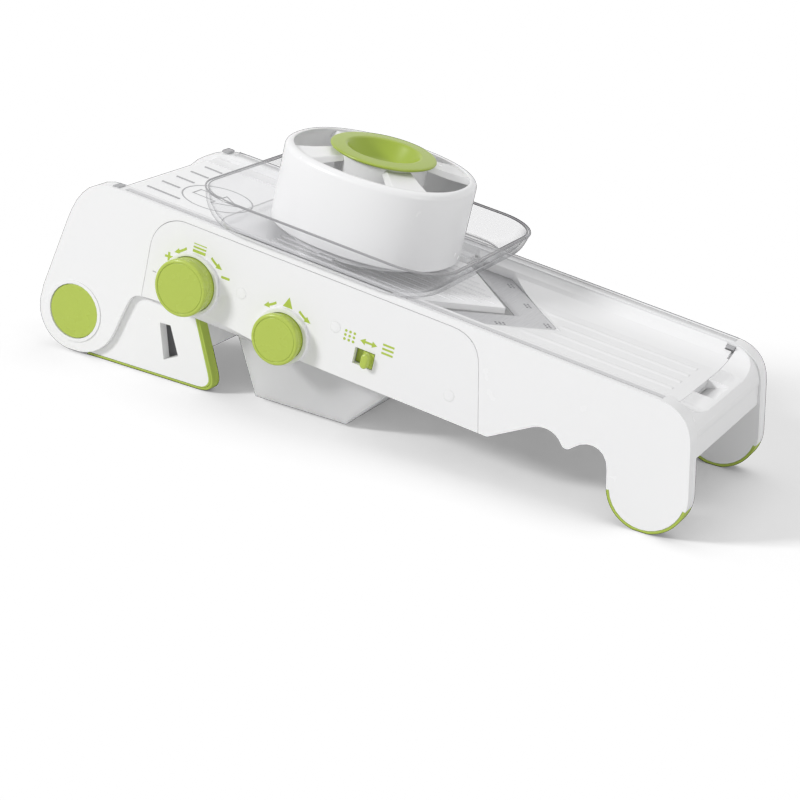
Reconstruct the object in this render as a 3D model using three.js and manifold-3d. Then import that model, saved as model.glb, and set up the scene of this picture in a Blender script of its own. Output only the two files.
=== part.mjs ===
// A V-blade mandoline slicer with julienne combs, a folding stand and a sliding food holder.
// Sizes are millimetres. Inside the deck group X runs along the deck to the outfeed end, Y runs
// across it away from the knobs, Z is the deck normal, and z = 0 is the top of the side rails.
// The x origin is above the pivot of the stand.
import * as THREE from 'three';
import { mergeVertices } from 'three/addons/utils/BufferGeometryUtils.js';
import Module from 'manifold-3d';

const wasm = await Module();
wasm.setup();

// General sizes
const CLEARANCE = 0.3;
const OVERRUN = 6;
const MERGE_DISTANCE = 0.0005;
const ROUND_SIDES = 28;
const CURVE_STEPS = 7;
const CORNER_STEPS = 5;
const RING_STEPS = 44;

// Side casings
const DECK_WIDTH = 130;
const SHELL_DEPTH = 10.5;
const SKIN = 3;
const RIM = 2.8;
const BODY_DROP = 55.5;
const PIVOT_BELOW_BODY = 24.8;
const LOBE_RADIUS = 23.5;
const FOOT_X = 354.3;
const FOOT_RADIUS = 22.4;
const FOOT_CORNER = 19;
const FOOT_RISE = 9;
const LEG_LEAN = THREE.MathUtils.degToRad(13.74);
const REST_SLOPE = THREE.MathUtils.degToRad(5.2);
const LEG_HEIGHT = 49.1;
const RUBBER = 1.3;
const FLAT_CUT = 0.35;
const PAD_START = THREE.MathUtils.degToRad(-6);
const PAD_END = THREE.MathUtils.degToRad(-162);
const GROOVE_FROM_SIDE = 3;
const GROOVE_WIDTH = 1.7;
const GROOVE_DEPTH = 1.4;
const GROOVE_START = 18;
const GROOVE_END_SETBACK = 2;

// Outline shares: the left shoulder in shares of the body drop, from the top left
const nearShoulderShares = [[-0.256, -0.521], [-0.19, -0.18], [-0.054, 0], [0.234, 0]];
const farShoulderShares = [[-0.256, -0.521], [-0.18, -0.2], [0.036, -0.01], [0.43, 0]];
const shoulderFootShares = [-0.413, -1.3];
// The right side of the lobe in shares of the lobe radius, from the pivot
const lobeSideShares = [[1.53, 0.93], [1.45, 0.75], [1.40, 0.63], [1.22, -0.08]];
const lobeFootShares = [[1.08, -0.66], [0.68, -0.97], [0.13, -0.991]];
const lobeTopShare = 1.85;
// The notch beside the foot, the round cusp and the lead notch, in shares of the foot radius
const notchShares = [[-0.112, 0.5], [-0.607, 0.554], [-0.902, 0.219]];
const cuspShares = [[-1.031, 0.071], [-1.116, 0.063], [-1.219, 0.17]];
const leadShares = [[-1.402, 0.42], [-1.759, 0.46], [-2.004, 0.295]];
const notchRampShare = 1.02;

// Control panel
const PANEL_LEFT = 41.8;
const PANEL_RIGHT = 257.5;
const PANEL_TOP = 3.8;
const PANEL_LEFT_CORNER = 20;
const PANEL_RIGHT_CORNER = 16;
const PANEL_THICKNESS = 2.7;
const PIN_RADIUS = 2.5;
const PIN_PLACES = [[103.4, 24.3], [163.3, 26.6], [236.3, 13.9]];

// Knobs
const THICKNESS_X = 71.8;
const THICKNESS_RISE = 18.6;
const THICKNESS_KNOB_RADIUS = 16.4;
const THICKNESS_KNOB_HEIGHT = 12.5;
const COMB_X = 133.5;
const COMB_RISE = 10.1;
const COMB_KNOB_RADIUS = 14.6;
const COMB_KNOB_HEIGHT = 10;
const KNOB_CHAMFER = 1.2;
const KNOB_STEP_INSET = 0.9;
const KNOB_STEP_DEPTH = 0.4;
const KNOB_SEAT = 1;
const COLLAR_HEIGHT = 2.4;
const COLLAR_WALL = 1.1;
const COLLAR_TAPER = 0.4;
const COLLAR_GAP = 0.5;
const SHAFT_RADIUS = 4;
const SHAFT_IN_KNOB = 7;

// Selector slide
const SLOT_LEFT = 177.4;
const SLOT_WIDTH = 12.3;
const SLOT_RISE = 15.5;
const SLOT_HEIGHT = 9.4;
const SELECTOR_TRAVEL = 5;
const LEVER_HEIGHT = 8.6;
const LEVER_OUT = 4.6;
const BAR_THICKNESS = 5;
const BAR_HEIGHT = 8;
const BAR_REACH = 9;
const PEG_RADIUS = 2;
const PEG_X = 173;
const PEG_LIFT = 4;
const PEG_LENGTH = 7.4;
const WEDGE_FLAT = 4;

// Inner frame
const WEB = 2.5;
const WEB_LIP = 6;
const WEB_BOTTOM_RISE = 3;
const SHOULDER_DEPTH = 4.5;
const SHOULDER_THICKNESS = 3;
const SHOULDER_END = 187;
const SHOULDER_START = 9;
const FRONT_WALL_X = 9;
const FRONT_WALL_TOP = 15.5;
const FRONT_WALL = 3;
const HUB_RADIUS = 19.5;
const END_WALL = 4;
const END_WALL_DROP = 28.7;
const END_STEP = 0.8;
const END_STEP_DROP = 17.5;
const END_INSET = 0.6;
const FINGER_NOTCH_WIDTH = 25;
const FINGER_NOTCH_LENGTH = 12.5;
const FINGER_NOTCH_DEPTH = 5.5;
const END_BLOCK_THICKNESS = 8;

// Trough and blade
const TROUGH_DEPTH = 9.7;
const TROUGH_FLAT = 23;
const TROUGH_LIP = 0.8;
const TRAY_THICKNESS = 3.6;
const TRAY_END = 349.7;
const TRAY_START = 188.8;
const BLADE_RUN = 26;
const BLADE_SETBACK = 1.2;
const BLADE_THICKNESS = 1.2;
const BLADE_TIP = 1.6;
const BLADE_OVERHANG = 4.5;
const LATCH_LENGTH = 5.2;
const LATCH_WIDTH = 2.6;
const SLIT_WIDTH = 1.2;
const SLIT_LENGTH = 6;
const RIB_COUNT = 4;
const RIB_PITCH = 16;
const RIB_WIDTH = 1.2;
const RIB_HEIGHT = 0.6;
const RIB_LEAD = 6;
const RIB_END_SETBACK = 11;

// Infeed ramp
const RAMP_START = 7.5;
const MOUTH_GAP = 6.2;
const SHOULDER_WIDTH = 9.1;
const RAMP_LEFT_DEPTH = 4.7;
const RAMP_TIP_DEPTH = 8.3;
const RAMP_THICKNESS = 3.4;
const RAMP_TILT = THREE.MathUtils.degToRad(2.65);
const RAMP_HINGE_X = 5;
const RAMP_HINGE_DROP = 5.6;
const RAMP_HINGE_RADIUS = 4;
const RAMP_PIN_RADIUS = 2;
const GRIP_COUNT = 5;
const GRIP_MARGIN = 11;
const GRIP_WIDTH = 1.3;
const GRIP_DEPTH = 0.6;
const GRIP_START = 6.5;
const GRIP_LENGTH = 22;
const CAM_RADIUS = 12;
const CAM_THROW = 1.55;
const CAM_WIDTH = 5;
const CAM_INSET = 4.6;
const CAM_GAP = 0.7;
const FOLLOWER_LENGTH = 16;
const FOLLOWER_WIDTH = 4;

// Julienne combs
const COMB_TIP_DEPTH = 2.9;
const TOOTH_LENGTH = 14.5;
const COMB_THICKNESS = 1;
const COMB_SEAT = 6;
const COMB_HUB_RADIUS = 9;
const TOOTH_MARGIN = 4.2;
const FINE_TEETH = 13;
const TOOTH_WIDTH = 1.5;
const TOOTH_TIP_WIDTH = 0.5;
const TOOTH_TIP_LENGTH = 3;
const SLOT_SIDE_GAP = 0.35;
const FINE_ANGLE = THREE.MathUtils.degToRad(-20);
const COARSE_ANGLE = THREE.MathUtils.degToRad(-110);

// Guard under the deck
const GUARD_WALL = 1.6;
const GUARD_TOP_RISE = 5.5;
const GUARD_LIFT = 1.9;
// Its corners in shares of the comb radius, from the comb axis
const guardShares = {
  topLeftShare: -0.955, bottomLeftShare: -0.365, bottomRightShare: 1, topRightShare: 1.69,
};

// Stand
const STAND_TOP_X = 78.7;
const STAND_EDGE_LEAN = THREE.MathUtils.degToRad(26.7);
const STAND_HEEL_X = 11.5;
const STAND_CORNER = 12;
const STAND_CROSSBAR_START = 2;
const STAND_CROSSBAR_LENGTH = 18;
const STAND_CROSSBAR_THICKNESS = 7;
const STAND_HEAD_X = 31;
const PIVOT_PIN_RADIUS = 5;
const PIVOT_CAP_RADIUS = 16.1;
const PIVOT_RING = 2;
const PIVOT_RING_RISE = 0.5;
// The window of the stand in shares of the stand's top length and of the drop from body to table
const windowShares = [[0.698, 0.25], [0.787, 0.235], [0.894, 0.56], [0.783, 0.67]];

// Food holder
const HOLDER_X = 140;
const DISH_FLOOR = 2;
const DISH_LIFT = 0.5;
const DISH_WALL = 1.8;
const DISH_RIM_Z = 19;
const DISH_FOOT_HALF_X = 64.5;
const DISH_FOOT_OVERHANG = 2.5;
const DISH_FOOT_CORNER = 22;
const DISH_RIM_HALF_X = 78;
const DISH_RIM_OVERHANG = 7.5;
const DISH_RIM_CORNER = 27;
// The dish wall's curve as shares of its height and of its spread
const dishWallShares = [[0, 0], [0.12, 0.32], [0.32, 0.62], [0.6, 0.85], [1, 1]];
const RUNNER_HALF_LENGTH = 50;
const RUNNER_DEPTH = 1;
const NECK_SETBACK = 10.5;
const NECK_WALL = 2.5;
const NECK_DROP = 1.2;
const LUG_REACH = 3.2;
const LUG_WIDTH = 9;
const LUG_TOP = 0.1;
const LUG_COUNT = 4;
const DRUM_END_OVERHANG = 11;
const DRUM_SIDE_OVERHANG = 3;
const DRUM_POWER = 2.2;
const DRUM_WALL = 2.6;
const DRUM_BASE_Z = 2.9;
const DRUM_FLANGE = 2.4;
const DRUM_TOP_Z = 48;
const DRUM_ROUND = 3.6;
const SPOKE_WIDTH = 19;
const SPOKE_THICKNESS = 5;
const SPOKE_ANGLE = THREE.MathUtils.degToRad(42);
const HUB_INNER = 23;
const HUB_WALL = 2.8;
const HUB_TOP_Z = 50.6;
const HUB_BOTTOM_Z = 38;
const PUSHER_SIDE_GAP = 0.7;
const PUSHER_PLATE = 3;
const PUSHER_WALL = 2.2;
const PUSHER_GAP = 0.5;
const SPIKE_ROWS = 5;
const SPIKE_PITCH = 13;
const SPIKE_RADIUS = 2.4;
const CAP_OVERHANG = 4.8;
const CAP_TOP_Z = 53.9;
const CAP_LIP = 2.4;
const CAP_BOWL_FLARE = 1;
const CAP_BOWL_FLOOR_RADIUS = 13;
const CAP_BOWL_DEPTH = 11;
const CAP_WALL = 2;

// Finishes
const white = new THREE.MeshStandardMaterial({ color: 0xf2f2f0, roughness: 0.35, metalness: 0 });
const green = new THREE.MeshStandardMaterial({ color: 0xb8ca5e, roughness: 0.35, metalness: 0 });
const rubber = new THREE.MeshStandardMaterial({ color: 0xa9bf45, roughness: 0.7, metalness: 0 });
const steel = new THREE.MeshStandardMaterial({ color: 0xc4c6c8, roughness: 0.25, metalness: 1 });
const clear = new THREE.MeshStandardMaterial({ color: 0xe9eef0, roughness: 0.08, metalness: 0 });
const frosted = new THREE.MeshStandardMaterial({ color: 0xe4e6e6, roughness: 0.5, metalness: 0 });
const inner = new THREE.MeshStandardMaterial({ color: 0xdadcdc, roughness: 0.45, metalness: 0 });

// Places worked out from the sizes above
const NEAR = -1;
const FAR = 1;
const halfWidth = DECK_WIDTH / 2;
const shellInner = halfWidth - SHELL_DEPTH;
const webOuter = shellInner - CLEARANCE;
const webInner = webOuter - WEB;
const pivotDrop = BODY_DROP + PIVOT_BELOW_BODY;
const tableDrop = BODY_DROP + LEG_HEIGHT;
const thicknessDrop = BODY_DROP - THICKNESS_RISE;
const combDrop = BODY_DROP - COMB_RISE;
const slotDrop = BODY_DROP - SLOT_RISE;
const combRadius = combDrop - COMB_TIP_DEPTH;
const combRoot = combRadius - TOOTH_LENGTH;
const guardTopDrop = BODY_DROP - GUARD_TOP_RISE;
const bladeMouthX = TRAY_START + webOuter - BLADE_OVERHANG;
const bladeReach = webInner - BLADE_SETBACK;
const rampTipX = bladeMouthX - MOUTH_GAP;
const rampHalf = webInner - SHOULDER_WIDTH;
const gripPitch = (rampHalf - GRIP_MARGIN) / ((GRIP_COUNT - 1) / 2);
const toothPitch = (rampHalf - TOOTH_MARGIN) / ((FINE_TEETH - 1) / 2);
const dishFootHalfY = halfWidth + DISH_FOOT_OVERHANG;
const dishRimHalfY = halfWidth + DISH_RIM_OVERHANG;
const neckRadius = shellInner - NECK_SETBACK;
const neckInner = neckRadius - NECK_WALL;
const drumHalfX = neckRadius + DRUM_END_OVERHANG;
const drumHalfY = neckRadius + DRUM_SIDE_OVERHANG;
const pusherRadius = neckInner - PUSHER_SIDE_GAP;
const capRadius = HUB_INNER + HUB_WALL + CAP_OVERHANG;
const capPlug = HUB_INNER - PUSHER_GAP - PUSHER_WALL - CLEARANCE;
const lean = new THREE.Vector2(Math.sin(LEG_LEAN), -Math.cos(LEG_LEAN));
const footZ = tableZ(FOOT_X) + (FOOT_RADIUS - FLAT_CUT) / Math.cos(REST_SLOPE);
const footInner = FOOT_RADIUS - RUBBER - CLEARANCE;
const rampLength = rampTipX - RAMP_START;
const rampSlope = Math.atan2(RAMP_TIP_DEPTH - RAMP_LEFT_DEPTH, rampLength);
const rampAlong = new THREE.Vector2(Math.cos(rampSlope), -Math.sin(rampSlope));
const rampHingeX = RAMP_START + RAMP_HINGE_X * rampAlong.x + RAMP_HINGE_DROP * rampAlong.y;
const rampHingeZ = -RAMP_LEFT_DEPTH + RAMP_HINGE_X * rampAlong.y - RAMP_HINGE_DROP * rampAlong.x;
const camY = rampHalf - CAM_INSET - CAM_WIDTH;
const pegY = (rampHalf + webInner) / 2;
const leverWidth = SLOT_WIDTH - SELECTOR_TRAVEL - 2 * CLEARANCE;
const leverX = SLOT_LEFT + SLOT_WIDTH - CLEARANCE - leverWidth / 2;
const wedgeTop = -SHOULDER_DEPTH - PEG_LENGTH - 2 * CLEARANCE;

/** Height of the table plane, on which the folded slicer rests, at x in the deck's frame. */
function tableZ(x) {
  return (x * Math.sin(REST_SLOPE) - tableDrop) / Math.cos(REST_SLOPE);
}

/** Turns a closed three.js geometry into a solid. */
function solidOf(geometry) {
  const bare = geometry.index ? geometry.toNonIndexed() : geometry.clone();
  bare.deleteAttribute('normal');
  bare.deleteAttribute('uv');
  const merged = mergeVertices(bare, MERGE_DISTANCE);
  const vertProperties = Float32Array.from(merged.attributes.position.array);
  const triVerts = Uint32Array.from(merged.index.array);
  return new wasm.Manifold(new wasm.Mesh({ numProp: 3, vertProperties, triVerts }));
}

/** Makes a named mesh of a solid. */
function meshOf(name, solid, material) {
  const mesh = solid.getMesh();
  const geometry = new THREE.BufferGeometry();
  geometry.setAttribute('position', new THREE.BufferAttribute(Float32Array.from(mesh.vertProperties), 3));
  geometry.setIndex(new THREE.BufferAttribute(Uint32Array.from(mesh.triVerts), 1));
  geometry.computeVertexNormals();
  const result = new THREE.Mesh(geometry, material);
  result.name = name;
  return result;
}

/** A closed shape from a list of [x, y] points. */
function polygon(points) {
  return new THREE.Shape(points.map(([x, y]) => new THREE.Vector2(x, y)));
}

/** A side view shape (x, z) given thickness from y = low to y = high. */
function plate(shape, low, high) {
  const options = { depth: high - low, bevelEnabled: false, curveSegments: CURVE_STEPS };
  const geometry = new THREE.ExtrudeGeometry(shape, options);
  geometry.rotateX(Math.PI / 2);
  geometry.translate(0, high, 0);
  return solidOf(geometry);
}

/** A side view shape given thickness on one side, between two distances from the middle. */
function sidePlate(shape, side, near, far) {
  return side === NEAR ? plate(shape, -far, -near) : plate(shape, near, far);
}

/** A plan view shape (x, y) given thickness from z = low to z = high. */
function slab(shape, low, high) {
  const options = { depth: high - low, bevelEnabled: false, curveSegments: CURVE_STEPS };
  const geometry = new THREE.ExtrudeGeometry(shape, options);
  geometry.translate(0, 0, low);
  return solidOf(geometry);
}

/** An end view shape (y, z) run along x from start to end. */
function run(shape, start, end) {
  const options = { depth: end - start, bevelEnabled: false, curveSegments: CURVE_STEPS };
  const geometry = new THREE.ExtrudeGeometry(shape, options);
  const turn = new THREE.Matrix4().makeBasis(
    new THREE.Vector3(0, 1, 0),
    new THREE.Vector3(0, 0, 1),
    new THREE.Vector3(1, 0, 0),
  );
  geometry.applyMatrix4(turn);
  geometry.translate(start, 0, 0);
  return solidOf(geometry);
}

/** A box between two corners. */
function block(x0, x1, y0, y1, z0, z1) {
  const geometry = new THREE.BoxGeometry(x1 - x0, y1 - y0, z1 - z0);
  geometry.translate((x0 + x1) / 2, (y0 + y1) / 2, (z0 + z1) / 2);
  return solidOf(geometry);
}

/** A cylinder along Y at (x, z), from y = low to y = high, with radii at its two ends. */
function rod(x, z, low, high, radius, highRadius = radius) {
  const geometry = new THREE.CylinderGeometry(highRadius, radius, high - low, ROUND_SIDES);
  geometry.translate(x, (low + high) / 2, z);
  return solidOf(geometry);
}

/** A cylinder along Z at (x, y), from z = low to z = high. */
function post(x, y, low, high, radius, sides = ROUND_SIDES) {
  const geometry = new THREE.CylinderGeometry(radius, radius, high - low, sides);
  geometry.rotateX(Math.PI / 2);
  geometry.translate(x, y, (low + high) / 2);
  return solidOf(geometry);
}

/** A profile of [radius, height] points turned about an axis through the origin. */
function turned(points, sides = ROUND_SIDES) {
  return new THREE.LatheGeometry(points.map(([radius, height]) => new THREE.Vector2(radius, height)), sides);
}

/** A solid skinned over rings of points that all have the same count, capped at both ends. */
function loft(rings) {
  const count = rings[0].length;
  const points = rings.flat();
  const index = [];
  for (let ring = 0; ring + 1 < rings.length; ring += 1) {
    for (let i = 0; i < count; i += 1) {
      const a = ring * count + i;
      const b = ring * count + (i + 1) % count;
      index.push(a, b, b + count, a, b + count, a + count);
    }
  }
  const last = (rings.length - 1) * count;
  for (let i = 1; i + 1 < count; i += 1) {
    index.push(0, i + 1, i, last, last + i, last + i + 1);
  }
  const geometry = new THREE.BufferGeometry();
  geometry.setAttribute('position', new THREE.Float32BufferAttribute(points.flatMap((p) => p.toArray()), 3));
  geometry.setIndex(index);
  return solidOf(geometry);
}

/** A ring of points round a rectangle with rounded corners. */
function rectangleRing(halfX, halfY, radius, z) {
  const ring = [];
  for (let quarter = 0; quarter < 4; quarter += 1) {
    const centreX = (quarter === 0 || quarter === 3 ? 1 : -1) * (halfX - radius);
    const centreY = (quarter < 2 ? 1 : -1) * (halfY - radius);
    for (let step = 0; step <= CORNER_STEPS; step += 1) {
      const angle = (quarter + step / CORNER_STEPS) * Math.PI / 2;
      const x = centreX + radius * Math.cos(angle);
      const y = centreY + radius * Math.sin(angle);
      ring.push(new THREE.Vector3(x, y, z));
    }
  }
  return ring;
}

/** A ring of points round the drum's oval, shrunk by an inset. */
function drumRing(inset, z) {
  const ring = [];
  for (let step = 0; step < RING_STEPS; step += 1) {
    const angle = step / RING_STEPS * Math.PI * 2;
    const cosine = Math.cos(angle);
    const sine = Math.sin(angle);
    const x = (drumHalfX - inset) * Math.sign(cosine) * Math.abs(cosine) ** (2 / DRUM_POWER);
    const y = (drumHalfY - inset) * Math.sign(sine) * Math.abs(sine) ** (2 / DRUM_POWER);
    ring.push(new THREE.Vector3(x, y, z));
  }
  return ring;
}

/** The side view of the casing: rail, outfeed foot, two notches, underside, lobe and shoulder. */
function sideOutline(side) {
  const shape = new THREE.Shape();
  const cornerX = FOOT_X + (FOOT_RADIUS + footZ * Math.sin(LEG_LEAN)) / Math.cos(LEG_LEAN);
  const shares = side === NEAR ? nearShoulderShares : farShoulderShares;
  const shoulder = shares.map(([x, z]) => [x * BODY_DROP, z * BODY_DROP]);
  shape.moveTo(shoulder[3][0], 0);
  shape.lineTo(cornerX - FOOT_CORNER, 0);
  shape.quadraticCurveTo(cornerX, 0, cornerX + FOOT_CORNER * lean.x, FOOT_CORNER * lean.y);
  shape.absarc(FOOT_X, footZ, FOOT_RADIUS, LEG_LEAN, PAD_START, true);
  shape.absarc(FOOT_X, footZ, footInner, PAD_START, PAD_END, true);
  shape.absarc(FOOT_X, footZ, FOOT_RADIUS, PAD_END, LEG_LEAN - Math.PI, true);
  const innerX = FOOT_X - FOOT_RADIUS * Math.cos(LEG_LEAN) - FOOT_RISE * lean.x;
  const innerZ = footZ - FOOT_RADIUS * Math.sin(LEG_LEAN) - FOOT_RISE * lean.y;
  shape.lineTo(innerX, innerZ);
  for (const shares of [notchShares, cuspShares, leadShares]) {
    const [first, second, end] = shares.map(([x, z]) => [innerX + x * FOOT_RADIUS, innerZ + z * FOOT_RADIUS]);
    shape.bezierCurveTo(...first, ...second, ...end);
  }
  shape.lineTo(notchLeadX() - notchRampShare * FOOT_RADIUS, -BODY_DROP);
  const flank = lobeSideShares.map(([x, z]) => [x * LOBE_RADIUS, z * LOBE_RADIUS - pivotDrop]);
  const foot = lobeFootShares.map(([x, z]) => [x * LOBE_RADIUS, z * LOBE_RADIUS - pivotDrop]);
  shape.lineTo(lobeTopShare * LOBE_RADIUS, -BODY_DROP);
  shape.quadraticCurveTo(flank[0][0], -BODY_DROP, flank[1][0], flank[1][1]);
  shape.quadraticCurveTo(flank[2][0], flank[2][1], flank[3][0], flank[3][1]);
  shape.bezierCurveTo(foot[0][0], foot[0][1], foot[1][0], foot[1][1], foot[2][0], foot[2][1]);
  const lobeStart = Math.atan2(lobeFootShares[2][1], lobeFootShares[2][0]);
  const tangentX = shoulderFootShares[0] * BODY_DROP;
  const tangentZ = shoulderFootShares[1] * BODY_DROP;
  shape.absarc(0, -pivotDrop, LOBE_RADIUS, lobeStart, -Math.PI * 1.06, true);
  shape.lineTo(tangentX, tangentZ);
  shape.lineTo(shoulder[0][0], shoulder[0][1]);
  shape.bezierCurveTo(...shoulder[1], ...shoulder[2], ...shoulder[3]);
  return shape;
}

/** The hollow behind a casing's skin, open to the inside. */
function pocketOutline() {
  const bottom = -BODY_DROP + RIM;
  const slopeX = notchLeadX() - 1.6 * RIM;
  return polygon([
    [shoulderFootShares[0] * BODY_DROP + 1.8 * RIM, bottom],
    [slopeX - notchRampShare * FOOT_RADIUS, bottom],
    [slopeX, -BODY_DROP / 2],
    [TRAY_END, -BODY_DROP / 2],
    [TRAY_END, -RIM],
    [farShoulderShares[3][0] * BODY_DROP, -RIM],
    [farShoulderShares[1][0] * BODY_DROP + 2.4 * RIM, farShoulderShares[0][1] * BODY_DROP / 2],
    [farShoulderShares[0][0] * BODY_DROP + 1.5 * RIM, farShoulderShares[0][1] * BODY_DROP],
  ]);
}

/** Where the lead notch starts, at the left. */
function notchLeadX() {
  const innerX = FOOT_X - FOOT_RADIUS * Math.cos(LEG_LEAN) - FOOT_RISE * lean.x;
  return innerX + leadShares[2][0] * FOOT_RADIUS;
}

/** The control panel's outline, shrunk by an inset. */
function panelOutline(inset) {
  const left = PANEL_LEFT + inset;
  const top = -PANEL_TOP - inset;
  const bottom = -BODY_DROP;
  const right = PANEL_RIGHT - inset;
  const cornerX = right + (bottom - top) * Math.tan(LEG_LEAN);
  const shape = new THREE.Shape();
  shape.moveTo(left, bottom);
  shape.lineTo(right, bottom);
  shape.lineTo(cornerX + PANEL_RIGHT_CORNER * lean.x, top + PANEL_RIGHT_CORNER * lean.y);
  shape.quadraticCurveTo(cornerX, top, cornerX - PANEL_RIGHT_CORNER, top);
  const corner = PANEL_LEFT_CORNER - inset;
  shape.absarc(left + corner, top - corner, corner, Math.PI / 2, Math.PI, false);
  return shape;
}

/** One side casing: skin, rim, lobe and foot, hollow behind the skin. */
function sideShell(side) {
  const outline = sideOutline(side);
  let shell = sidePlate(outline, side, shellInner, halfWidth);
  shell = shell.subtract(sidePlate(pocketOutline(), side, shellInner - OVERRUN, halfWidth - SKIN));
  const standSpace = polygon([
    [-2 * LOBE_RADIUS, -BODY_DROP],
    [2 * LOBE_RADIUS, -BODY_DROP],
    [2 * LOBE_RADIUS, -2 * pivotDrop],
    [-2 * LOBE_RADIUS, -2 * pivotDrop],
  ]);
  shell = shell.subtract(sidePlate(standSpace, side, shellInner - OVERRUN, halfWidth - SKIN));
  if (side === NEAR) {
    shell = shell.subtract(plate(panelOutline(0), -halfWidth - OVERRUN, -halfWidth + SKIN));
    shell = shell.subtract(panelBottomCut());
  }
  const ringRadius = PIVOT_CAP_RADIUS + CLEARANCE + PIVOT_RING;
  shell = shell.add(sideRod(side, 0, -pivotDrop, halfWidth - SKIN, halfWidth + PIVOT_RING_RISE, ringRadius));
  const capHole = PIVOT_CAP_RADIUS + CLEARANCE;
  shell = shell.subtract(sideRod(side, 0, -pivotDrop, shellInner - OVERRUN, halfWidth + OVERRUN, capHole));
  const grooveOuter = halfWidth - GROOVE_FROM_SIDE;
  const grooveEnd = TRAY_END - GROOVE_END_SETBACK;
  const grooveLow = side === NEAR ? -grooveOuter : grooveOuter - GROOVE_WIDTH;
  const groove = block(GROOVE_START, grooveEnd, grooveLow, grooveLow + GROOVE_WIDTH, -GROOVE_DEPTH, OVERRUN);
  return shell.subtract(groove);
}

/** Clears the skin below the panel, so that the panel ends level with the underside. */
function panelBottomCut() {
  const strip = polygon([
    [PANEL_LEFT, -BODY_DROP - OVERRUN],
    [PANEL_RIGHT + OVERRUN * Math.tan(LEG_LEAN), -BODY_DROP - OVERRUN],
    [PANEL_RIGHT, -BODY_DROP],
    [PANEL_LEFT, -BODY_DROP],
  ]);
  return plate(strip, -halfWidth - OVERRUN, -halfWidth + SKIN);
}

/** A rod on one side, between two distances from the middle. */
function sideRod(side, x, z, near, far, radius, farRadius = radius) {
  return side === NEAR ? rod(x, z, -far, -near, farRadius, radius) : rod(x, z, near, far, radius, farRadius);
}

/** The flush near side cover with its two knob collars, slider slot and pin holes. */
function controlPanel() {
  const inside = -halfWidth + PANEL_THICKNESS;
  let panel = plate(panelOutline(CLEARANCE), -halfWidth, inside);
  const knobs = [
    [THICKNESS_X, -thicknessDrop, THICKNESS_KNOB_RADIUS],
    [COMB_X, -combDrop, COMB_KNOB_RADIUS],
  ];
  for (const [x, z, radius] of knobs) {
    const bore = radius + COLLAR_GAP;
    const outer = bore + COLLAR_WALL;
    panel = panel.add(rod(x, z, -halfWidth - COLLAR_HEIGHT, inside, outer, outer + COLLAR_TAPER));
    panel = panel.subtract(rod(x, z, -halfWidth - COLLAR_HEIGHT - OVERRUN, -halfWidth + KNOB_SEAT, bore));
    panel = panel.subtract(rod(x, z, -halfWidth, inside + OVERRUN, SHAFT_RADIUS + CLEARANCE));
  }
  const slotBottom = -slotDrop - SLOT_HEIGHT / 2;
  const slotRight = SLOT_LEFT + SLOT_WIDTH;
  panel = panel.subtract(
    block(SLOT_LEFT, slotRight, -halfWidth - OVERRUN, inside + OVERRUN, slotBottom, slotBottom + SLOT_HEIGHT),
  );
  for (const [x, rise] of PIN_PLACES) {
    const hole = PIN_RADIUS + CLEARANCE;
    panel = panel.subtract(rod(x, rise - BODY_DROP, -halfWidth - OVERRUN, inside + OVERRUN, hole));
  }
  const belowBody = -BODY_DROP - OVERRUN * 2;
  return panel.subtract(block(0, FOOT_X, -halfWidth - OVERRUN, 0, belowBody, -BODY_DROP));
}

/** A knob with a chamfered rim, a shallow step on its face and a bore for its shaft. */
function knob(radius, height) {
  const back = KNOB_SEAT - CLEARANCE;
  const step = radius - KNOB_CHAMFER - KNOB_STEP_INSET;
  const body = turned([
    [0, -back],
    [radius - KNOB_STEP_DEPTH, -back],
    [radius, height - KNOB_CHAMFER],
    [radius - KNOB_CHAMFER, height],
    [step, height],
    [step, height - KNOB_STEP_DEPTH],
    [0, height - KNOB_STEP_DEPTH],
  ]);
  body.rotateX(Math.PI);
  const bore = rod(0, 0, -SHAFT_IN_KNOB - CLEARANCE, OVERRUN, SHAFT_RADIUS + CLEARANCE);
  return solidOf(body).subtract(bore);
}

/** The trough's cross section, z over y, from the middle out to its lip. */
function troughHeight(y) {
  const reach = webOuter - TROUGH_FLAT;
  const share = Math.max(0, Math.abs(y) - TROUGH_FLAT) / reach;
  const rise = TROUGH_DEPTH - TROUGH_LIP;
  return -TROUGH_DEPTH + rise * (1 - Math.sqrt(Math.max(0, 1 - share * share)));
}

/** Points of the trough's top from one lip to the other. */
function troughTop(halfSpan) {
  const points = [];
  for (let step = -CURVE_STEPS; step <= CURVE_STEPS; step += 1) {
    const share = Math.sin(Math.abs(step) / CURVE_STEPS * Math.PI / 2);
    const y = Math.sign(step) * (TROUGH_FLAT + (halfSpan - TROUGH_FLAT) * share);
    if (step !== 0) points.push([y, troughHeight(y)]);
  }
  return points;
}

/** The blade's V in plan, grown by an amount all round. */
function bladeOutline(grow) {
  const slant = grow * Math.SQRT2;
  const inside = bladeMouthX - slant;
  const outside = bladeMouthX + BLADE_RUN + slant;
  const reach = bladeReach + grow;
  return polygon([
    [outside - BLADE_TIP, -BLADE_TIP],
    [outside - BLADE_TIP, BLADE_TIP],
    [outside - reach, reach],
    [inside - reach, reach],
    [inside, 0],
    [inside - reach, -reach],
    [outside - reach, -reach],
  ]);
}

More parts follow.
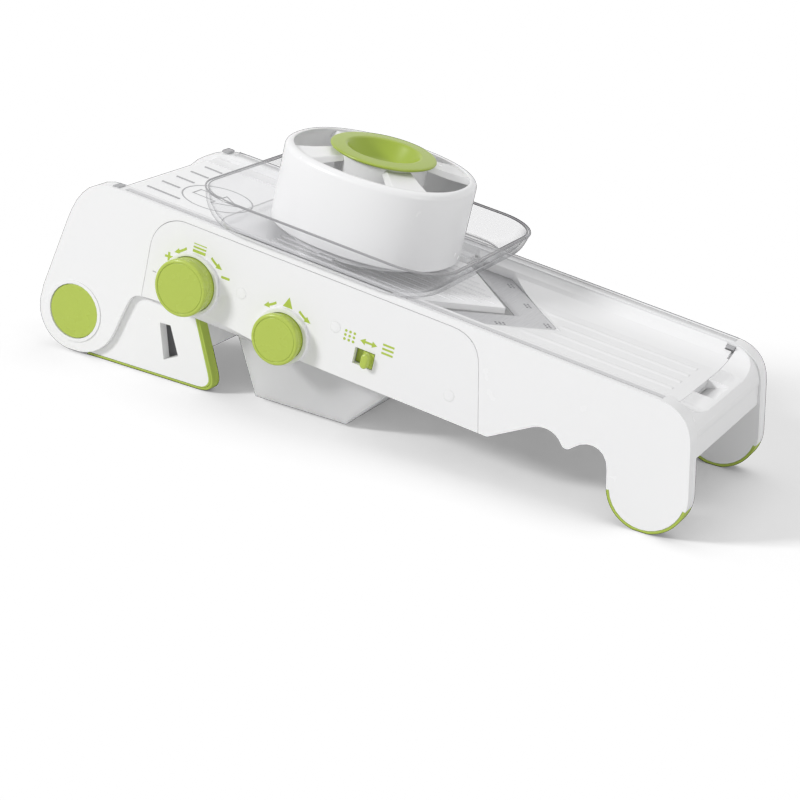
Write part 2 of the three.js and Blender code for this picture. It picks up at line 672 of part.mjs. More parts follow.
/** The outfeed tray: a ribbed trough, cut to a V at the infeed side, with a seat for the blade. */
function bladeTray() {
  const lip = webOuter;
  const under = -TROUGH_DEPTH - TRAY_THICKNESS;
  const ledge = webInner - CLEARANCE;
  const start = bladeMouthX + BLADE_OVERHANG - lip;
  const section = polygon([
    ...troughTop(lip),
    [lip, -WEB_LIP + CLEARANCE],
    [ledge, -WEB_LIP + CLEARANCE],
    [ledge, under],
    [-ledge, under],
    [-ledge, -WEB_LIP + CLEARANCE],
    [-lip, -WEB_LIP + CLEARANCE],
  ].reverse());
  let tray = run(section, start, TRAY_END);
  const mouth = bladeMouthX + BLADE_OVERHANG;
  const mouthCut = polygon([[mouth, 0], [mouth - 2 * lip, 2 * lip], [mouth - 2 * lip, -2 * lip]]);
  tray = tray.subtract(slab(mouthCut, under - OVERRUN, OVERRUN));
  const seat = -TROUGH_DEPTH - BLADE_THICKNESS - CLEARANCE;
  for (let rib = 0; rib < RIB_COUNT; rib += 1) {
    const y = (rib - (RIB_COUNT - 1) / 2) * RIB_PITCH;
    const ribStart = bladeMouthX + BLADE_RUN - Math.abs(y) + RIB_LEAD;
    const foot = Math.min(troughHeight(y), -TROUGH_DEPTH + RIB_HEIGHT) - RIB_HEIGHT;
    const side = RIB_WIDTH / 2;
    const top = troughHeight(y) + RIB_HEIGHT;
    tray = tray.add(block(ribStart, TRAY_END - RIB_END_SETBACK, y - side, y + side, foot, top));
  }
  for (const side of [NEAR, FAR]) {
    const edge = lip - LATCH_WIDTH;
    tray = tray.subtract(sidePlate(trayEndCut(LATCH_LENGTH), side, edge, lip + OVERRUN));
    tray = tray.subtract(sidePlate(trayEndCut(SLIT_WIDTH), side, edge - SLIT_LENGTH, edge));
  }
  return tray.subtract(slab(bladeOutline(CLEARANCE), seat, OVERRUN));
}

/** The side view of a cut through the tray's outfeed end. */
function trayEndCut(length) {
  const low = -TROUGH_DEPTH - TRAY_THICKNESS - OVERRUN;
  return polygon([
    [TRAY_END - length, low],
    [TRAY_END + OVERRUN, low],
    [TRAY_END + OVERRUN, OVERRUN],
    [TRAY_END - length, OVERRUN],
  ]);
}

/** The inner frame: two webs, shoulders beside the ramp, front wall, end ledge and end wall. */
function deckFrame() {
  const wallEnd = FRONT_WALL_X + FRONT_WALL;
  const wallLow = -BODY_DROP + WEB_BOTTOM_RISE;
  let frame = block(FRONT_WALL_X, wallEnd, -webOuter, webOuter, wallLow, -FRONT_WALL_TOP);
  for (const side of [NEAR, FAR]) {
    frame = frame.add(sidePlate(webOutline(), side, webInner, webOuter));
    const low = side === NEAR ? -webOuter : rampHalf + CLEARANCE;
    const high = side === NEAR ? -rampHalf - CLEARANCE : webOuter;
    const bottom = -SHOULDER_DEPTH - SHOULDER_THICKNESS;
    frame = frame.add(block(SHOULDER_START, SHOULDER_END, low, high, bottom, -SHOULDER_DEPTH));
    frame = frame.add(sideRod(side, 0, -pivotDrop, webInner, webOuter, HUB_RADIUS));
  }
  frame = frame.add(endLedge());
  for (const [x, z, radius] of [
    [0, -pivotDrop, PIVOT_PIN_RADIUS],
    [THICKNESS_X, -thicknessDrop, SHAFT_RADIUS],
    [COMB_X, -combDrop, SHAFT_RADIUS],
    [rampHingeX, rampHingeZ, RAMP_PIN_RADIUS],
  ]) {
    frame = frame.subtract(rod(x, z, -halfWidth, halfWidth, radius + CLEARANCE));
  }
  const slotBottom = -slotDrop - SLOT_HEIGHT / 2;
  const slotRight = SLOT_LEFT + SLOT_WIDTH;
  frame = frame.subtract(
    block(SLOT_LEFT, slotRight, -halfWidth, -webInner + CLEARANCE, slotBottom, slotBottom + SLOT_HEIGHT),
  );
  return frame.subtract(post(PEG_X, -pegY, -BODY_DROP, OVERRUN, PEG_RADIUS + CLEARANCE));
}

/** The side view of one web of the inner frame. */
function webOutline() {
  const bottom = -BODY_DROP + WEB_BOTTOM_RISE;
  const lead = notchLeadX();
  const shape = new THREE.Shape();
  shape.moveTo(SHOULDER_START, -SHOULDER_DEPTH);
  shape.lineTo(SHOULDER_END, -SHOULDER_DEPTH);
  shape.lineTo(SHOULDER_END, -WEB_LIP);
  shape.lineTo(FOOT_X, -WEB_LIP);
  shape.lineTo(FOOT_X, -END_WALL_DROP);
  shape.lineTo(lead, -END_WALL_DROP);
  shape.lineTo(lead - notchRampShare * FOOT_RADIUS, bottom);
  shape.lineTo(HUB_RADIUS, bottom);
  shape.lineTo(HUB_RADIUS, -pivotDrop);
  shape.lineTo(0, -pivotDrop);
  shape.lineTo(-HUB_RADIUS * 0.97, -pivotDrop);
  shape.lineTo(farShoulderShares[0][0] * BODY_DROP + RIM, farShoulderShares[0][1] * BODY_DROP);
  shape.closePath();
  return shape;
}

/** The fixed end of the trough past the tray: ledge, finger notch and stepped end wall. */
function endLedge() {
  const start = TRAY_END + CLEARANCE;
  const under = -TROUGH_DEPTH - END_BLOCK_THICKNESS;
  const section = polygon([...troughTop(webOuter), [webOuter, under], [-webOuter, under]].reverse());
  let ledge = run(section, start, FOOT_X + 2 * FOOT_RADIUS);
  const notch = polygon([
    [start - OVERRUN, -TROUGH_DEPTH + OVERRUN],
    [start - OVERRUN, -TROUGH_DEPTH - FINGER_NOTCH_DEPTH],
    [start, -TROUGH_DEPTH - FINGER_NOTCH_DEPTH],
    [start + FINGER_NOTCH_LENGTH, -TROUGH_DEPTH],
    [start + FINGER_NOTCH_LENGTH, -TROUGH_DEPTH + OVERRUN],
  ]);
  ledge = ledge.subtract(plate(notch, -FINGER_NOTCH_WIDTH / 2, FINGER_NOTCH_WIDTH / 2));
  const rightTop = FOOT_X + FOOT_RADIUS / Math.cos(LEG_LEAN) + footZ * Math.tan(LEG_LEAN);
  const edge = (drop) => rightTop + drop * Math.tan(LEG_LEAN);
  const band = (drop, foot, setback) => polygon([
    [edge(drop) - END_WALL - setback, -drop],
    [edge(drop) + OVERRUN - setback, -drop],
    [edge(foot) + OVERRUN - setback, -foot],
    [edge(foot) - END_WALL - setback, -foot],
  ]);
  const wall = plate(band(TROUGH_DEPTH, END_WALL_DROP, 0), -webOuter, webOuter);
  const outline = sideOutline(NEAR);
  const limit = plate(outline, -halfWidth, halfWidth).translate([-END_INSET, 0, -END_INSET]);
  const full = ledge.add(wall).intersect(limit);
  const step = plate(outline, -halfWidth, halfWidth).translate([-END_INSET - END_STEP, 0, 0]);
  const lower = polygon([
    [start - OVERRUN, -END_STEP_DROP],
    [FOOT_X + 2 * FOOT_RADIUS, -END_STEP_DROP],
    [FOOT_X + 2 * FOOT_RADIUS, -BODY_DROP],
    [start - OVERRUN, -BODY_DROP],
  ]);
  const below = plate(lower, -halfWidth, halfWidth);
  return full.subtract(below.subtract(step));
}

/** The infeed ramp in its own frame: x from its left end, top face at z = 0. */
function infeedRamp() {
  const outline = polygon([
    [0, -rampHalf],
    [rampLength - rampHalf, -rampHalf],
    [rampLength, 0],
    [rampLength - rampHalf, rampHalf],
    [0, rampHalf],
  ]);
  let ramp = slab(outline, -RAMP_THICKNESS, 0);
  const hingeStart = RAMP_HINGE_X - RAMP_HINGE_RADIUS;
  const hingeEnd = RAMP_HINGE_X + RAMP_HINGE_RADIUS;
  for (const side of [NEAR, FAR]) {
    const knuckle = rampHalf - FOLLOWER_WIDTH;
    const low = side === NEAR ? -rampHalf : knuckle;
    const high = low + FOLLOWER_WIDTH;
    ramp = ramp.add(block(hingeStart, hingeEnd, low, high, -RAMP_HINGE_DROP, -RAMP_THICKNESS / 2));
    ramp = ramp.add(rod(RAMP_HINGE_X, -RAMP_HINGE_DROP, low, high, RAMP_HINGE_RADIUS));
    const followerX = THICKNESS_X - RAMP_START;
    const rampZ = -RAMP_LEFT_DEPTH - followerX * Math.sin(rampSlope);
    const foot = -thicknessDrop + CAM_RADIUS + CAM_THROW + CAM_GAP - rampZ;
    const middle = side * (camY + CAM_WIDTH / 2);
    ramp = ramp.add(block(
      followerX - FOLLOWER_LENGTH / 2, followerX + FOLLOWER_LENGTH / 2,
      middle - FOLLOWER_WIDTH / 2, middle + FOLLOWER_WIDTH / 2,
      foot, -RAMP_THICKNESS / 2,
    ));
  }
  const bore = RAMP_PIN_RADIUS + CLEARANCE;
  ramp = ramp.subtract(rod(RAMP_HINGE_X, -RAMP_HINGE_DROP, -halfWidth, halfWidth, bore));
  for (let grip = 0; grip < GRIP_COUNT; grip += 1) {
    const y = (grip - (GRIP_COUNT - 1) / 2) * gripPitch;
    const low = y - GRIP_WIDTH / 2;
    const end = GRIP_START + GRIP_LENGTH;
    ramp = ramp.subtract(block(GRIP_START, end, low, low + GRIP_WIDTH, -GRIP_DEPTH, OVERRUN));
  }
  const dip = (COMB_X - rampHingeX) * Math.sin(RAMP_TILT);
  const drop = combDrop - RAMP_TIP_DEPTH - RAMP_THICKNESS - dip;
  const reach = Math.sqrt(combRadius * combRadius - drop * drop) + COMB_THICKNESS;
  const slotX = COMB_X - RAMP_START;
  const slotHalf = TOOTH_WIDTH / 2 + SLOT_SIDE_GAP;
  for (const y of toothPlaces(1)) {
    const under = -RAMP_THICKNESS - OVERRUN;
    ramp = ramp.subtract(block(slotX - reach, slotX + reach, y - slotHalf, y + slotHalf, under, OVERRUN));
  }
  return ramp;
}

/** The places of comb teeth across the deck, taking every given one. */
function toothPlaces(every) {
  const places = [];
  for (let tooth = 0; tooth < FINE_TEETH; tooth += every) {
    places.push((tooth - (FINE_TEETH - 1) / 2) * toothPitch);
  }
  return places;
}

/** A flat comb in the frame of its shaft, pointing along +X, its plate edge in the hub. */
function comb(every) {
  const half = (FINE_TEETH - 1) / 2 * toothPitch + TOOTH_WIDTH / 2;
  const shape = new THREE.Shape();
  shape.moveTo(COMB_SEAT, -half);
  shape.lineTo(combRoot, -half);
  for (const y of toothPlaces(every)) {
    const low = y - TOOTH_WIDTH / 2;
    const tip = (TOOTH_WIDTH - TOOTH_TIP_WIDTH) / 2;
    if (low > -half) shape.lineTo(combRoot, low);
    shape.lineTo(combRadius - TOOTH_TIP_LENGTH, low);
    shape.lineTo(combRadius, low + tip);
    shape.lineTo(combRadius, low + tip + TOOTH_TIP_WIDTH);
    shape.lineTo(combRadius - TOOTH_TIP_LENGTH, low + TOOTH_WIDTH);
    if (y < half - TOOTH_WIDTH) shape.lineTo(combRoot, low + TOOTH_WIDTH);
  }
  shape.lineTo(COMB_SEAT, half);
  return slab(shape, -COMB_THICKNESS / 2, COMB_THICKNESS / 2);
}

/** The hub on the comb shaft, with a slot for each comb. */
function combHub() {
  const half = (FINE_TEETH - 1) / 2 * toothPitch + toothPitch / 2;
  let hub = rod(0, 0, -half, half, COMB_HUB_RADIUS);
  hub = hub.subtract(rod(0, 0, -half - OVERRUN, half + OVERRUN, SHAFT_RADIUS + CLEARANCE));
  const slotHalf = COMB_THICKNESS / 2 + CLEARANCE;
  for (const angle of [FINE_ANGLE, COARSE_ANGLE]) {
    const slotEnd = COMB_HUB_RADIUS + OVERRUN;
    const slot = block(COMB_SEAT - CLEARANCE, slotEnd, -halfWidth, halfWidth, -slotHalf, slotHalf);
    const degrees = THREE.MathUtils.radToDeg(-angle);
    hub = hub.subtract(slot.rotate([0, degrees, 0]));
  }
  return hub;
}

/** The translucent guard under the deck: a box that is open at the top. */
function underGuard() {
  const corner = (share) => COMB_X + share * combRadius;
  const low = (share) => tableZ(corner(share)) + GUARD_LIFT;
  const outer = [
    [corner(guardShares.topLeftShare), -guardTopDrop],
    [corner(guardShares.bottomLeftShare), low(guardShares.bottomLeftShare)],
    [corner(guardShares.bottomRightShare), low(guardShares.bottomRightShare)],
    [corner(guardShares.topRightShare), -guardTopDrop],
  ];
  const half = webInner - CLEARANCE;
  const inside = insetPolygon(outer, GUARD_WALL);
  inside[0][1] += OVERRUN;
  inside[3][1] += OVERRUN;
  const box = plate(polygon(outer), -half, half);
  return box.subtract(plate(polygon(inside), -half + GUARD_WALL, half - GUARD_WALL));
}

/** A convex polygon, listed anticlockwise, with every side moved inwards. */
function insetPolygon(points, distance) {
  const count = points.length;
  return points.map((point, i) => {
    const before = points[(i + count - 1) % count];
    const after = points[(i + 1) % count];
    const first = new THREE.Vector2(point[0] - before[0], point[1] - before[1]).normalize();
    const second = new THREE.Vector2(after[0] - point[0], after[1] - point[1]).normalize();
    const turn = first.x * second.y - first.y * second.x;
    const along = (1 - first.dot(second)) / turn;
    return [
      point[0] + distance * (-first.y - along * first.x),
      point[1] + distance * (first.x - along * first.y),
    ];
  });
}

/** The stand's right edge and lower edge, moved inwards by an inset, as points. */
function standCorners(inset) {
  const edge = new THREE.Vector2(Math.sin(STAND_EDGE_LEAN), -Math.cos(STAND_EDGE_LEAN));
  const topZ = -BODY_DROP - CLEARANCE;
  const top = new THREE.Vector2(STAND_TOP_X - inset / Math.cos(STAND_EDGE_LEAN), topZ);
  const lift = inset / Math.cos(REST_SLOPE);
  const slope = Math.tan(REST_SLOPE);
  const along = (tableZ(top.x) + lift - top.y) / (edge.y - slope * edge.x);
  const corner = new THREE.Vector2(top.x + along * edge.x, top.y + along * edge.y);
  const heel = new THREE.Vector2(STAND_HEEL_X, tableZ(STAND_HEEL_X) + lift);
  return { edge, top, corner, heel };
}

/** Draws the stand's right edge, rounded corner and lower edge into a shape. */
function drawStandEdge(shape, inset, backwards) {
  const { edge, top, corner, heel } = standCorners(inset);
  const cut = STAND_CORNER - inset;
  const onEdge = [corner.x - cut * edge.x, corner.y - cut * edge.y];
  const onFoot = [corner.x - cut * Math.cos(REST_SLOPE), corner.y - cut * Math.sin(REST_SLOPE)];
  const [start, first, second, end] = backwards
    ? [heel, onFoot, onEdge, top] : [top, onEdge, onFoot, heel];
  shape.lineTo(start.x, start.y);
  shape.lineTo(first[0], first[1]);
  shape.quadraticCurveTo(corner.x, corner.y, second[0], second[1]);
  shape.lineTo(end.x, end.y);
}

/** The stand: two plates with windows, joined by a crossbar at the free end. */
function standLeg() {
  const inset = RUBBER + CLEARANCE;
  const outer = halfWidth - SKIN - CLEARANCE;
  const shape = new THREE.Shape();
  const { edge, top } = standCorners(inset);
  shape.moveTo(STAND_HEAD_X, top.y);
  drawStandEdge(shape, inset, false);
  shape.lineTo(0, -pivotDrop);
  const window = polygon(windowShares.map(([x, z]) => [
    x * STAND_TOP_X, -BODY_DROP - z * LEG_HEIGHT,
  ]));
  const start = new THREE.Vector2(top.x, top.y).addScaledVector(edge, STAND_CROSSBAR_START);
  const end = new THREE.Vector2(start.x, start.y).addScaledVector(edge, STAND_CROSSBAR_LENGTH);
  const thickness = STAND_CROSSBAR_THICKNESS / Math.cos(STAND_EDGE_LEAN);
  const bar = polygon([
    [start.x - CLEARANCE, start.y],
    [start.x - thickness, start.y],
    [end.x - thickness, end.y],
    [end.x - CLEARANCE, end.y],
  ]);
  let leg = plate(bar, -shellInner - CLEARANCE, shellInner + CLEARANCE);
  for (const side of [NEAR, FAR]) {
    leg = leg.add(sidePlate(shape, side, shellInner, outer));
    leg = leg.add(sideRod(side, 0, -pivotDrop, shellInner, outer, HUB_RADIUS));
    leg = leg.subtract(sidePlate(window, side, shellInner - CLEARANCE, outer + OVERRUN));
  }
  return leg.subtract(rod(0, -pivotDrop, -halfWidth, halfWidth, PIVOT_PIN_RADIUS + CLEARANCE));
}

/** The green rubber band along one stand plate's free end and lower edge. */
function standRubber(side) {
  const shape = new THREE.Shape();
  const { top } = standCorners(0);
  shape.moveTo(top.x, top.y);
  drawStandEdge(shape, 0, false);
  drawStandEdge(shape, RUBBER, true);
  return sidePlate(shape, side, shellInner, halfWidth - SKIN - CLEARANCE);
}

/** The rubber crescent under one foot, with a small flat where it rests. */
function footPad(side) {
  const shape = new THREE.Shape();
  shape.absarc(FOOT_X, footZ, FOOT_RADIUS, PAD_START, PAD_END, true);
  shape.absarc(FOOT_X, footZ, FOOT_RADIUS - RUBBER, PAD_END, PAD_START, false);
  const left = FOOT_X - 2 * FOOT_RADIUS;
  const right = FOOT_X + 2 * FOOT_RADIUS;
  const below = polygon([
    [left, tableZ(left)],
    [left, tableZ(left) - FOOT_RADIUS],
    [right, tableZ(right) - FOOT_RADIUS],
    [right, tableZ(right)],
  ]);
  return sidePlate(shape, side, shellInner, halfWidth).subtract(plate(below, -DECK_WIDTH, DECK_WIDTH));
}

/** The clear dish in the holder's frame: flared wall, floor with a round hole, runners below. */
function guardDish() {
  const top = DISH_RIM_Z;
  const floor = DISH_LIFT + DISH_FLOOR;
  const ring = ([lift, spread], wall, low) => rectangleRing(
    DISH_FOOT_HALF_X + spread * (DISH_RIM_HALF_X - DISH_FOOT_HALF_X) - wall,
    dishFootHalfY + spread * (dishRimHalfY - dishFootHalfY) - wall,
    DISH_FOOT_CORNER + spread * (DISH_RIM_CORNER - DISH_FOOT_CORNER) - wall,
    low + lift * (top - low),
  );
  const inside = dishWallShares.map((shares) => ring(shares, DISH_WALL, floor));
  inside.push(ring([1, 1], DISH_WALL, top + OVERRUN));
  let dish = loft(dishWallShares.map((shares) => ring(shares, 0, DISH_LIFT))).subtract(loft(inside));
  const runnerWidth = GROOVE_WIDTH - 2 * CLEARANCE;
  for (const side of [NEAR, FAR]) {
    const outside = halfWidth - GROOVE_FROM_SIDE - CLEARANCE;
    const low = side === NEAR ? -outside : outside - runnerWidth;
    const foot = -RUNNER_DEPTH;
    dish = dish.add(block(
      -RUNNER_HALF_LENGTH, RUNNER_HALF_LENGTH, low, low + runnerWidth, foot, DISH_LIFT + DISH_FLOOR / 2,
    ));
  }
  return dish.subtract(post(0, 0, -OVERRUN, floor + OVERRUN, neckRadius + CLEARANCE));
}

/** The white drum in the holder's frame: oval wall, flange, neck, lugs, spokes and hub. */
function holderDrum() {
  const shoulderZ = DRUM_TOP_Z - DRUM_ROUND;
  let drum = loft([
    drumRing(0, DRUM_BASE_Z),
    drumRing(0, shoulderZ),
    drumRing(DRUM_ROUND / 4, DRUM_TOP_Z - DRUM_ROUND / 3),
    drumRing(DRUM_ROUND * 0.9, DRUM_TOP_Z),
  ]);
  const openRing = DRUM_WALL + DRUM_ROUND / 2;
  drum = drum.subtract(loft([
    drumRing(DRUM_WALL, DRUM_BASE_Z + DRUM_FLANGE),
    drumRing(DRUM_WALL, shoulderZ),
    drumRing(openRing, DRUM_TOP_Z + CLEARANCE),
  ]));
  drum = drum.add(post(0, 0, -NECK_DROP, DRUM_BASE_Z + DRUM_FLANGE / 2, neckRadius));
  for (let lug = 0; lug < LUG_COUNT; lug += 1) {
    const reach = neckRadius + LUG_REACH;
    const arm = block(neckInner, reach, -LUG_WIDTH / 2, LUG_WIDTH / 2, -NECK_DROP, LUG_TOP);
    drum = drum.add(arm.rotate([0, 0, lug * 360 / LUG_COUNT]));
  }
  drum = drum.subtract(post(0, 0, -NECK_DROP - OVERRUN, DRUM_BASE_Z + DRUM_FLANGE + OVERRUN, neckInner));
  const spokeEnd = drumHalfY - DRUM_WALL / 2;
  const rimTop = DRUM_TOP_Z - DRUM_ROUND / 2;
  const hubSide = HUB_INNER + HUB_WALL / 2;
  const profile = polygon([
    [hubSide, HUB_TOP_Z - SPOKE_THICKNESS],
    [spokeEnd, rimTop - SPOKE_THICKNESS],
    [drumHalfX, rimTop - SPOKE_THICKNESS],
    [drumHalfX, rimTop],
    [spokeEnd, rimTop],
    [hubSide, HUB_TOP_Z - CLEARANCE],
  ]);
  const limit = loft([drumRing(DRUM_WALL / 2, DRUM_BASE_Z), drumRing(DRUM_WALL / 2, DRUM_TOP_Z + OVERRUN)]);
  for (const angle of [SPOKE_ANGLE, Math.PI - SPOKE_ANGLE, Math.PI + SPOKE_ANGLE, -SPOKE_ANGLE]) {
    const spoke = plate(profile, -SPOKE_WIDTH / 2, SPOKE_WIDTH / 2);
    drum = drum.add(spoke.rotate([0, 0, THREE.MathUtils.radToDeg(angle)]).intersect(limit));
  }
  drum = drum.add(post(0, 0, HUB_BOTTOM_Z, HUB_TOP_Z, HUB_INNER + HUB_WALL));
  return drum.subtract(post(0, 0, HUB_BOTTOM_Z - OVERRUN, HUB_TOP_Z + OVERRUN, HUB_INNER));
}

/** The pusher in the holder's frame: a hollow post on a round plate with spikes. */
function pusher() {
  const outer = HUB_INNER - PUSHER_GAP;
  const bottom = 0;
  const postTop = CAP_TOP_Z - CAP_LIP - CLEARANCE;
  let part = post(0, 0, bottom, bottom + PUSHER_PLATE, pusherRadius);
  part = part.add(post(0, 0, bottom, postTop, outer));
  part = part.subtract(post(0, 0, bottom + PUSHER_PLATE, postTop + OVERRUN, outer - PUSHER_WALL));
  const spikeFoot = -NECK_DROP;
  for (let row = 0; row < SPIKE_ROWS; row += 1) {
    for (let column = 0; column < SPIKE_ROWS; column += 1) {
      const x = (row - (SPIKE_ROWS - 1) / 2) * SPIKE_PITCH;
      const y = (column - (SPIKE_ROWS - 1) / 2) * SPIKE_PITCH;
      if (Math.hypot(x, y) > pusherRadius - SPIKE_RADIUS) continue;
      const spike = new THREE.CylinderGeometry(SPIKE_RADIUS, CLEARANCE, PUSHER_PLATE / 2 - spikeFoot, 4);
      spike.rotateX(Math.PI / 2);
      spike.translate(x, y, (PUSHER_PLATE / 2 + spikeFoot) / 2);
      part = part.add(solidOf(spike));
    }
  }
  return part;
}

/** The green cap: a flat ring with a dished middle that plugs the pusher's post. */
function pusherCap() {
  const floor = CAP_TOP_Z - CAP_BOWL_DEPTH;
  const lipZ = CAP_TOP_Z - CAP_LIP;
  const profile = turned([
    [0, floor - CAP_WALL],
    [CAP_BOWL_FLOOR_RADIUS, floor - CAP_WALL],
    [capPlug, floor + CAP_WALL],
    [capPlug, lipZ],
    [capRadius - CAP_LIP / 2, lipZ],
    [capRadius, lipZ + CAP_LIP / 2],
    [capRadius - CAP_LIP / 2, CAP_TOP_Z],
    [capPlug + CAP_BOWL_FLARE, CAP_TOP_Z],
    [capPlug - CAP_WALL, lipZ],
    [CAP_BOWL_FLOOR_RADIUS, floor],
    [0, floor],
  ], ROUND_SIDES + CURVE_STEPS);
  profile.rotateX(Math.PI / 2);
  return solidOf(profile);
}

/** The slider's nub, with a stem through the panel and the web. */
function selectorLever() {
  const half = leverWidth / 2;
  const low = -slotDrop - LEVER_HEIGHT / 2;
  const outside = -halfWidth - LEVER_OUT;
  const high = low + LEVER_HEIGHT;
  const stemEnd = -webInner + CLEARANCE;
  const stem = block(leverX - half, leverX + half, -halfWidth + OVERRUN / 2, stemEnd, low, high);
  const nubShape = polygon([
    [leverX - half, -halfWidth + OVERRUN],
    [leverX - half, outside + half / 2],
    [leverX - half / 2, outside],
    [leverX + half / 2, outside],
    [leverX + half, outside + half / 2],
    [leverX + half, -halfWidth + OVERRUN],
  ]);
  return stem.add(slab(nubShape, low, high));
}

/** The bar behind the slider, with a wedge that lifts the turn peg. */
function switchBar() {
  const outer = -webInner + 2 * CLEARANCE;
  const left = PEG_X - PEG_RADIUS - CLEARANCE;
  const rise = PEG_X + PEG_RADIUS + CLEARANCE;
  const right = leverX + leverWidth / 2;
  const barTop = -slotDrop + BAR_HEIGHT / 2;
  const arm = rise + SELECTOR_TRAVEL + WEDGE_FLAT;
  const shape = polygon([
    [left, barTop - BAR_HEIGHT],
    [right, barTop - BAR_HEIGHT],
    [right, barTop],
    [arm, barTop],
    [arm, wedgeTop + PEG_LIFT],
    [rise + SELECTOR_TRAVEL, wedgeTop + PEG_LIFT],
    [rise, wedgeTop],
    [left, wedgeTop],
  ]);
  return plate(shape, outer, outer + BAR_THICKNESS);
}

/** Builds the whole slicer. */
function build() {
  const deck = new THREE.Group();
  const add = (name, solid, material, place = [0, 0, 0]) => {
    const mesh = meshOf(name, solid, material);
    mesh.position.set(...place);
    deck.add(mesh);
    return mesh;
  };

  add('near_side_shell', sideShell(NEAR), white);
  add('far_side_shell', sideShell(FAR), white);
  add('control_panel', controlPanel(), white);
  PIN_PLACES.forEach(([x, rise], i) => {
    add(`panel_pin_${i + 1}`, rod(x, rise - BODY_DROP, -halfWidth, -shellInner, PIN_RADIUS), white);
  });
  add('deck_frame', deckFrame(), white);
  add('blade_tray', bladeTray(), white);
  const bladeTop = -TROUGH_DEPTH;
  add('v_blade', slab(bladeOutline(0), bladeTop - BLADE_THICKNESS, bladeTop), steel);
  add('under_guard', underGuard(), frosted);

  const ramp = add('infeed_ramp', infeedRamp(), white, [RAMP_START, 0, -RAMP_LEFT_DEPTH]);
  ramp.rotation.y = rampSlope;
  add('ramp_pivot_pin', rod(rampHingeX, rampHingeZ, -webOuter, webOuter, RAMP_PIN_RADIUS), steel);

  const thickness = [THICKNESS_X, 0, -thicknessDrop];
  const thicknessKnob = knob(THICKNESS_KNOB_RADIUS, THICKNESS_KNOB_HEIGHT);
  add('thickness_knob', thicknessKnob, green, [THICKNESS_X, -halfWidth, -thicknessDrop]);
  add('thickness_shaft', rod(0, 0, -halfWidth - SHAFT_IN_KNOB, webOuter, SHAFT_RADIUS), steel, thickness);
  for (const [name, side] of [['thickness_cam_near', NEAR], ['thickness_cam_far', FAR]]) {
    const cam = sideRod(side, 0, CAM_THROW, camY, camY + CAM_WIDTH, CAM_RADIUS);
    add(name, cam.subtract(rod(0, 0, -halfWidth, halfWidth, SHAFT_RADIUS + CLEARANCE)), inner, thickness);
  }

  const combs = [COMB_X, 0, -combDrop];
  add('shape_knob', knob(COMB_KNOB_RADIUS, COMB_KNOB_HEIGHT), green, [COMB_X, -halfWidth, -combDrop]);
  add('comb_shaft', rod(0, 0, -halfWidth - SHAFT_IN_KNOB, webOuter, SHAFT_RADIUS), steel, combs);
  add('comb_hub', combHub(), inner, combs);
  add('fine_comb', comb(1), steel, combs).rotation.y = -FINE_ANGLE;
  add('coarse_comb', comb(2), steel, combs).rotation.y = -COARSE_ANGLE;

  add('selector_lever', selectorLever(), green);
  add('switch_bar', switchBar(), inner);
  const pegTop = -SHOULDER_DEPTH - CLEARANCE;
  add('turn_peg', post(PEG_X, -pegY, pegTop - PEG_LENGTH, pegTop, PEG_RADIUS), steel);

  add('stand_leg', standLeg(), white);
  for (const [end, side] of [['near', NEAR], ['far', FAR]]) {
    const pinEnd = halfWidth - SKIN;
    const capInner = pinEnd + CLEARANCE;
    add(`stand_rubber_${end}`, standRubber(side), rubber);
    add(`pivot_pin_${end}`, sideRod(side, 0, -pivotDrop, webInner, pinEnd, PIVOT_PIN_RADIUS), steel);
    add(`pivot_cap_${end}`, sideRod(side, 0, -pivotDrop, capInner, halfWidth, PIVOT_CAP_RADIUS), green);
    add(`foot_pad_${end}`, footPad(side), rubber);
  }

  const holder = [HOLDER_X, 0, 0];
  add('guard_dish', guardDish(), clear, holder);
  add('holder_drum', holderDrum(), white, holder);
  add('pusher', pusher(), white, holder);
  add('pusher_cap', pusherCap(), green, holder);

  deck.rotation.y = REST_SLOPE;
  const slicer = new THREE.Group();
  slicer.add(deck);
  slicer.updateMatrixWorld(true);
  const box = new THREE.Box3().setFromObject(slicer, true);
  const centre = box.getCenter(new THREE.Vector3());
  deck.position.set(-centre.x, -centre.y, -box.min.z);
  return slicer;
}

export default build();
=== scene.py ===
"""A V-blade mandoline slicer with julienne combs, a folding stand and a sliding food holder.

Sizes are millimetres in the deck's frame: X runs along the deck to the outfeed end, Y runs
across it away from the knobs, Z is the deck's normal, and z = 0 is the top of the side rails.
The x origin is above the pivot of the stand. A finished mesh is placed in the part's frame, in
metres, and its object sits at the origin.
"""
import logging
import math
from collections.abc import Callable, Sequence
from dataclasses import dataclass, field
from enum import Enum
from typing import Protocol

import bmesh
import bpy
from mathutils import Matrix, Vector


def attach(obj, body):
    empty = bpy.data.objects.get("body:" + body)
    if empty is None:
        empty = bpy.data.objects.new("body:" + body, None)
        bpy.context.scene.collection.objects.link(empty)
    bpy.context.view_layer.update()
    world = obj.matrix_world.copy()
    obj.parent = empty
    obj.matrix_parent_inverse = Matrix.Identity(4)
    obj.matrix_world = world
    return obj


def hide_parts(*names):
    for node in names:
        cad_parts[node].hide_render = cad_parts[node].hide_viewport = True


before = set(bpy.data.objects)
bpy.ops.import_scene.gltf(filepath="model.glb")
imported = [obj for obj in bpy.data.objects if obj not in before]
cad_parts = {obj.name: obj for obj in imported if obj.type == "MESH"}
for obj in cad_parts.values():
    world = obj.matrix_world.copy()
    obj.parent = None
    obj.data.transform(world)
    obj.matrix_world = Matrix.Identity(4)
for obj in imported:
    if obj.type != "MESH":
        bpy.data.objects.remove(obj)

log = logging.getLogger("mandoline")

Point = tuple[float, float, float]
Flat = tuple[float, float]
Span = tuple[float, float]
Colour = tuple[float, float, float]
Socket = bpy.types.NodeSocket
Material = bpy.types.Material
EdgeChoice = Callable[[Vector, Vector, Vector], bool]

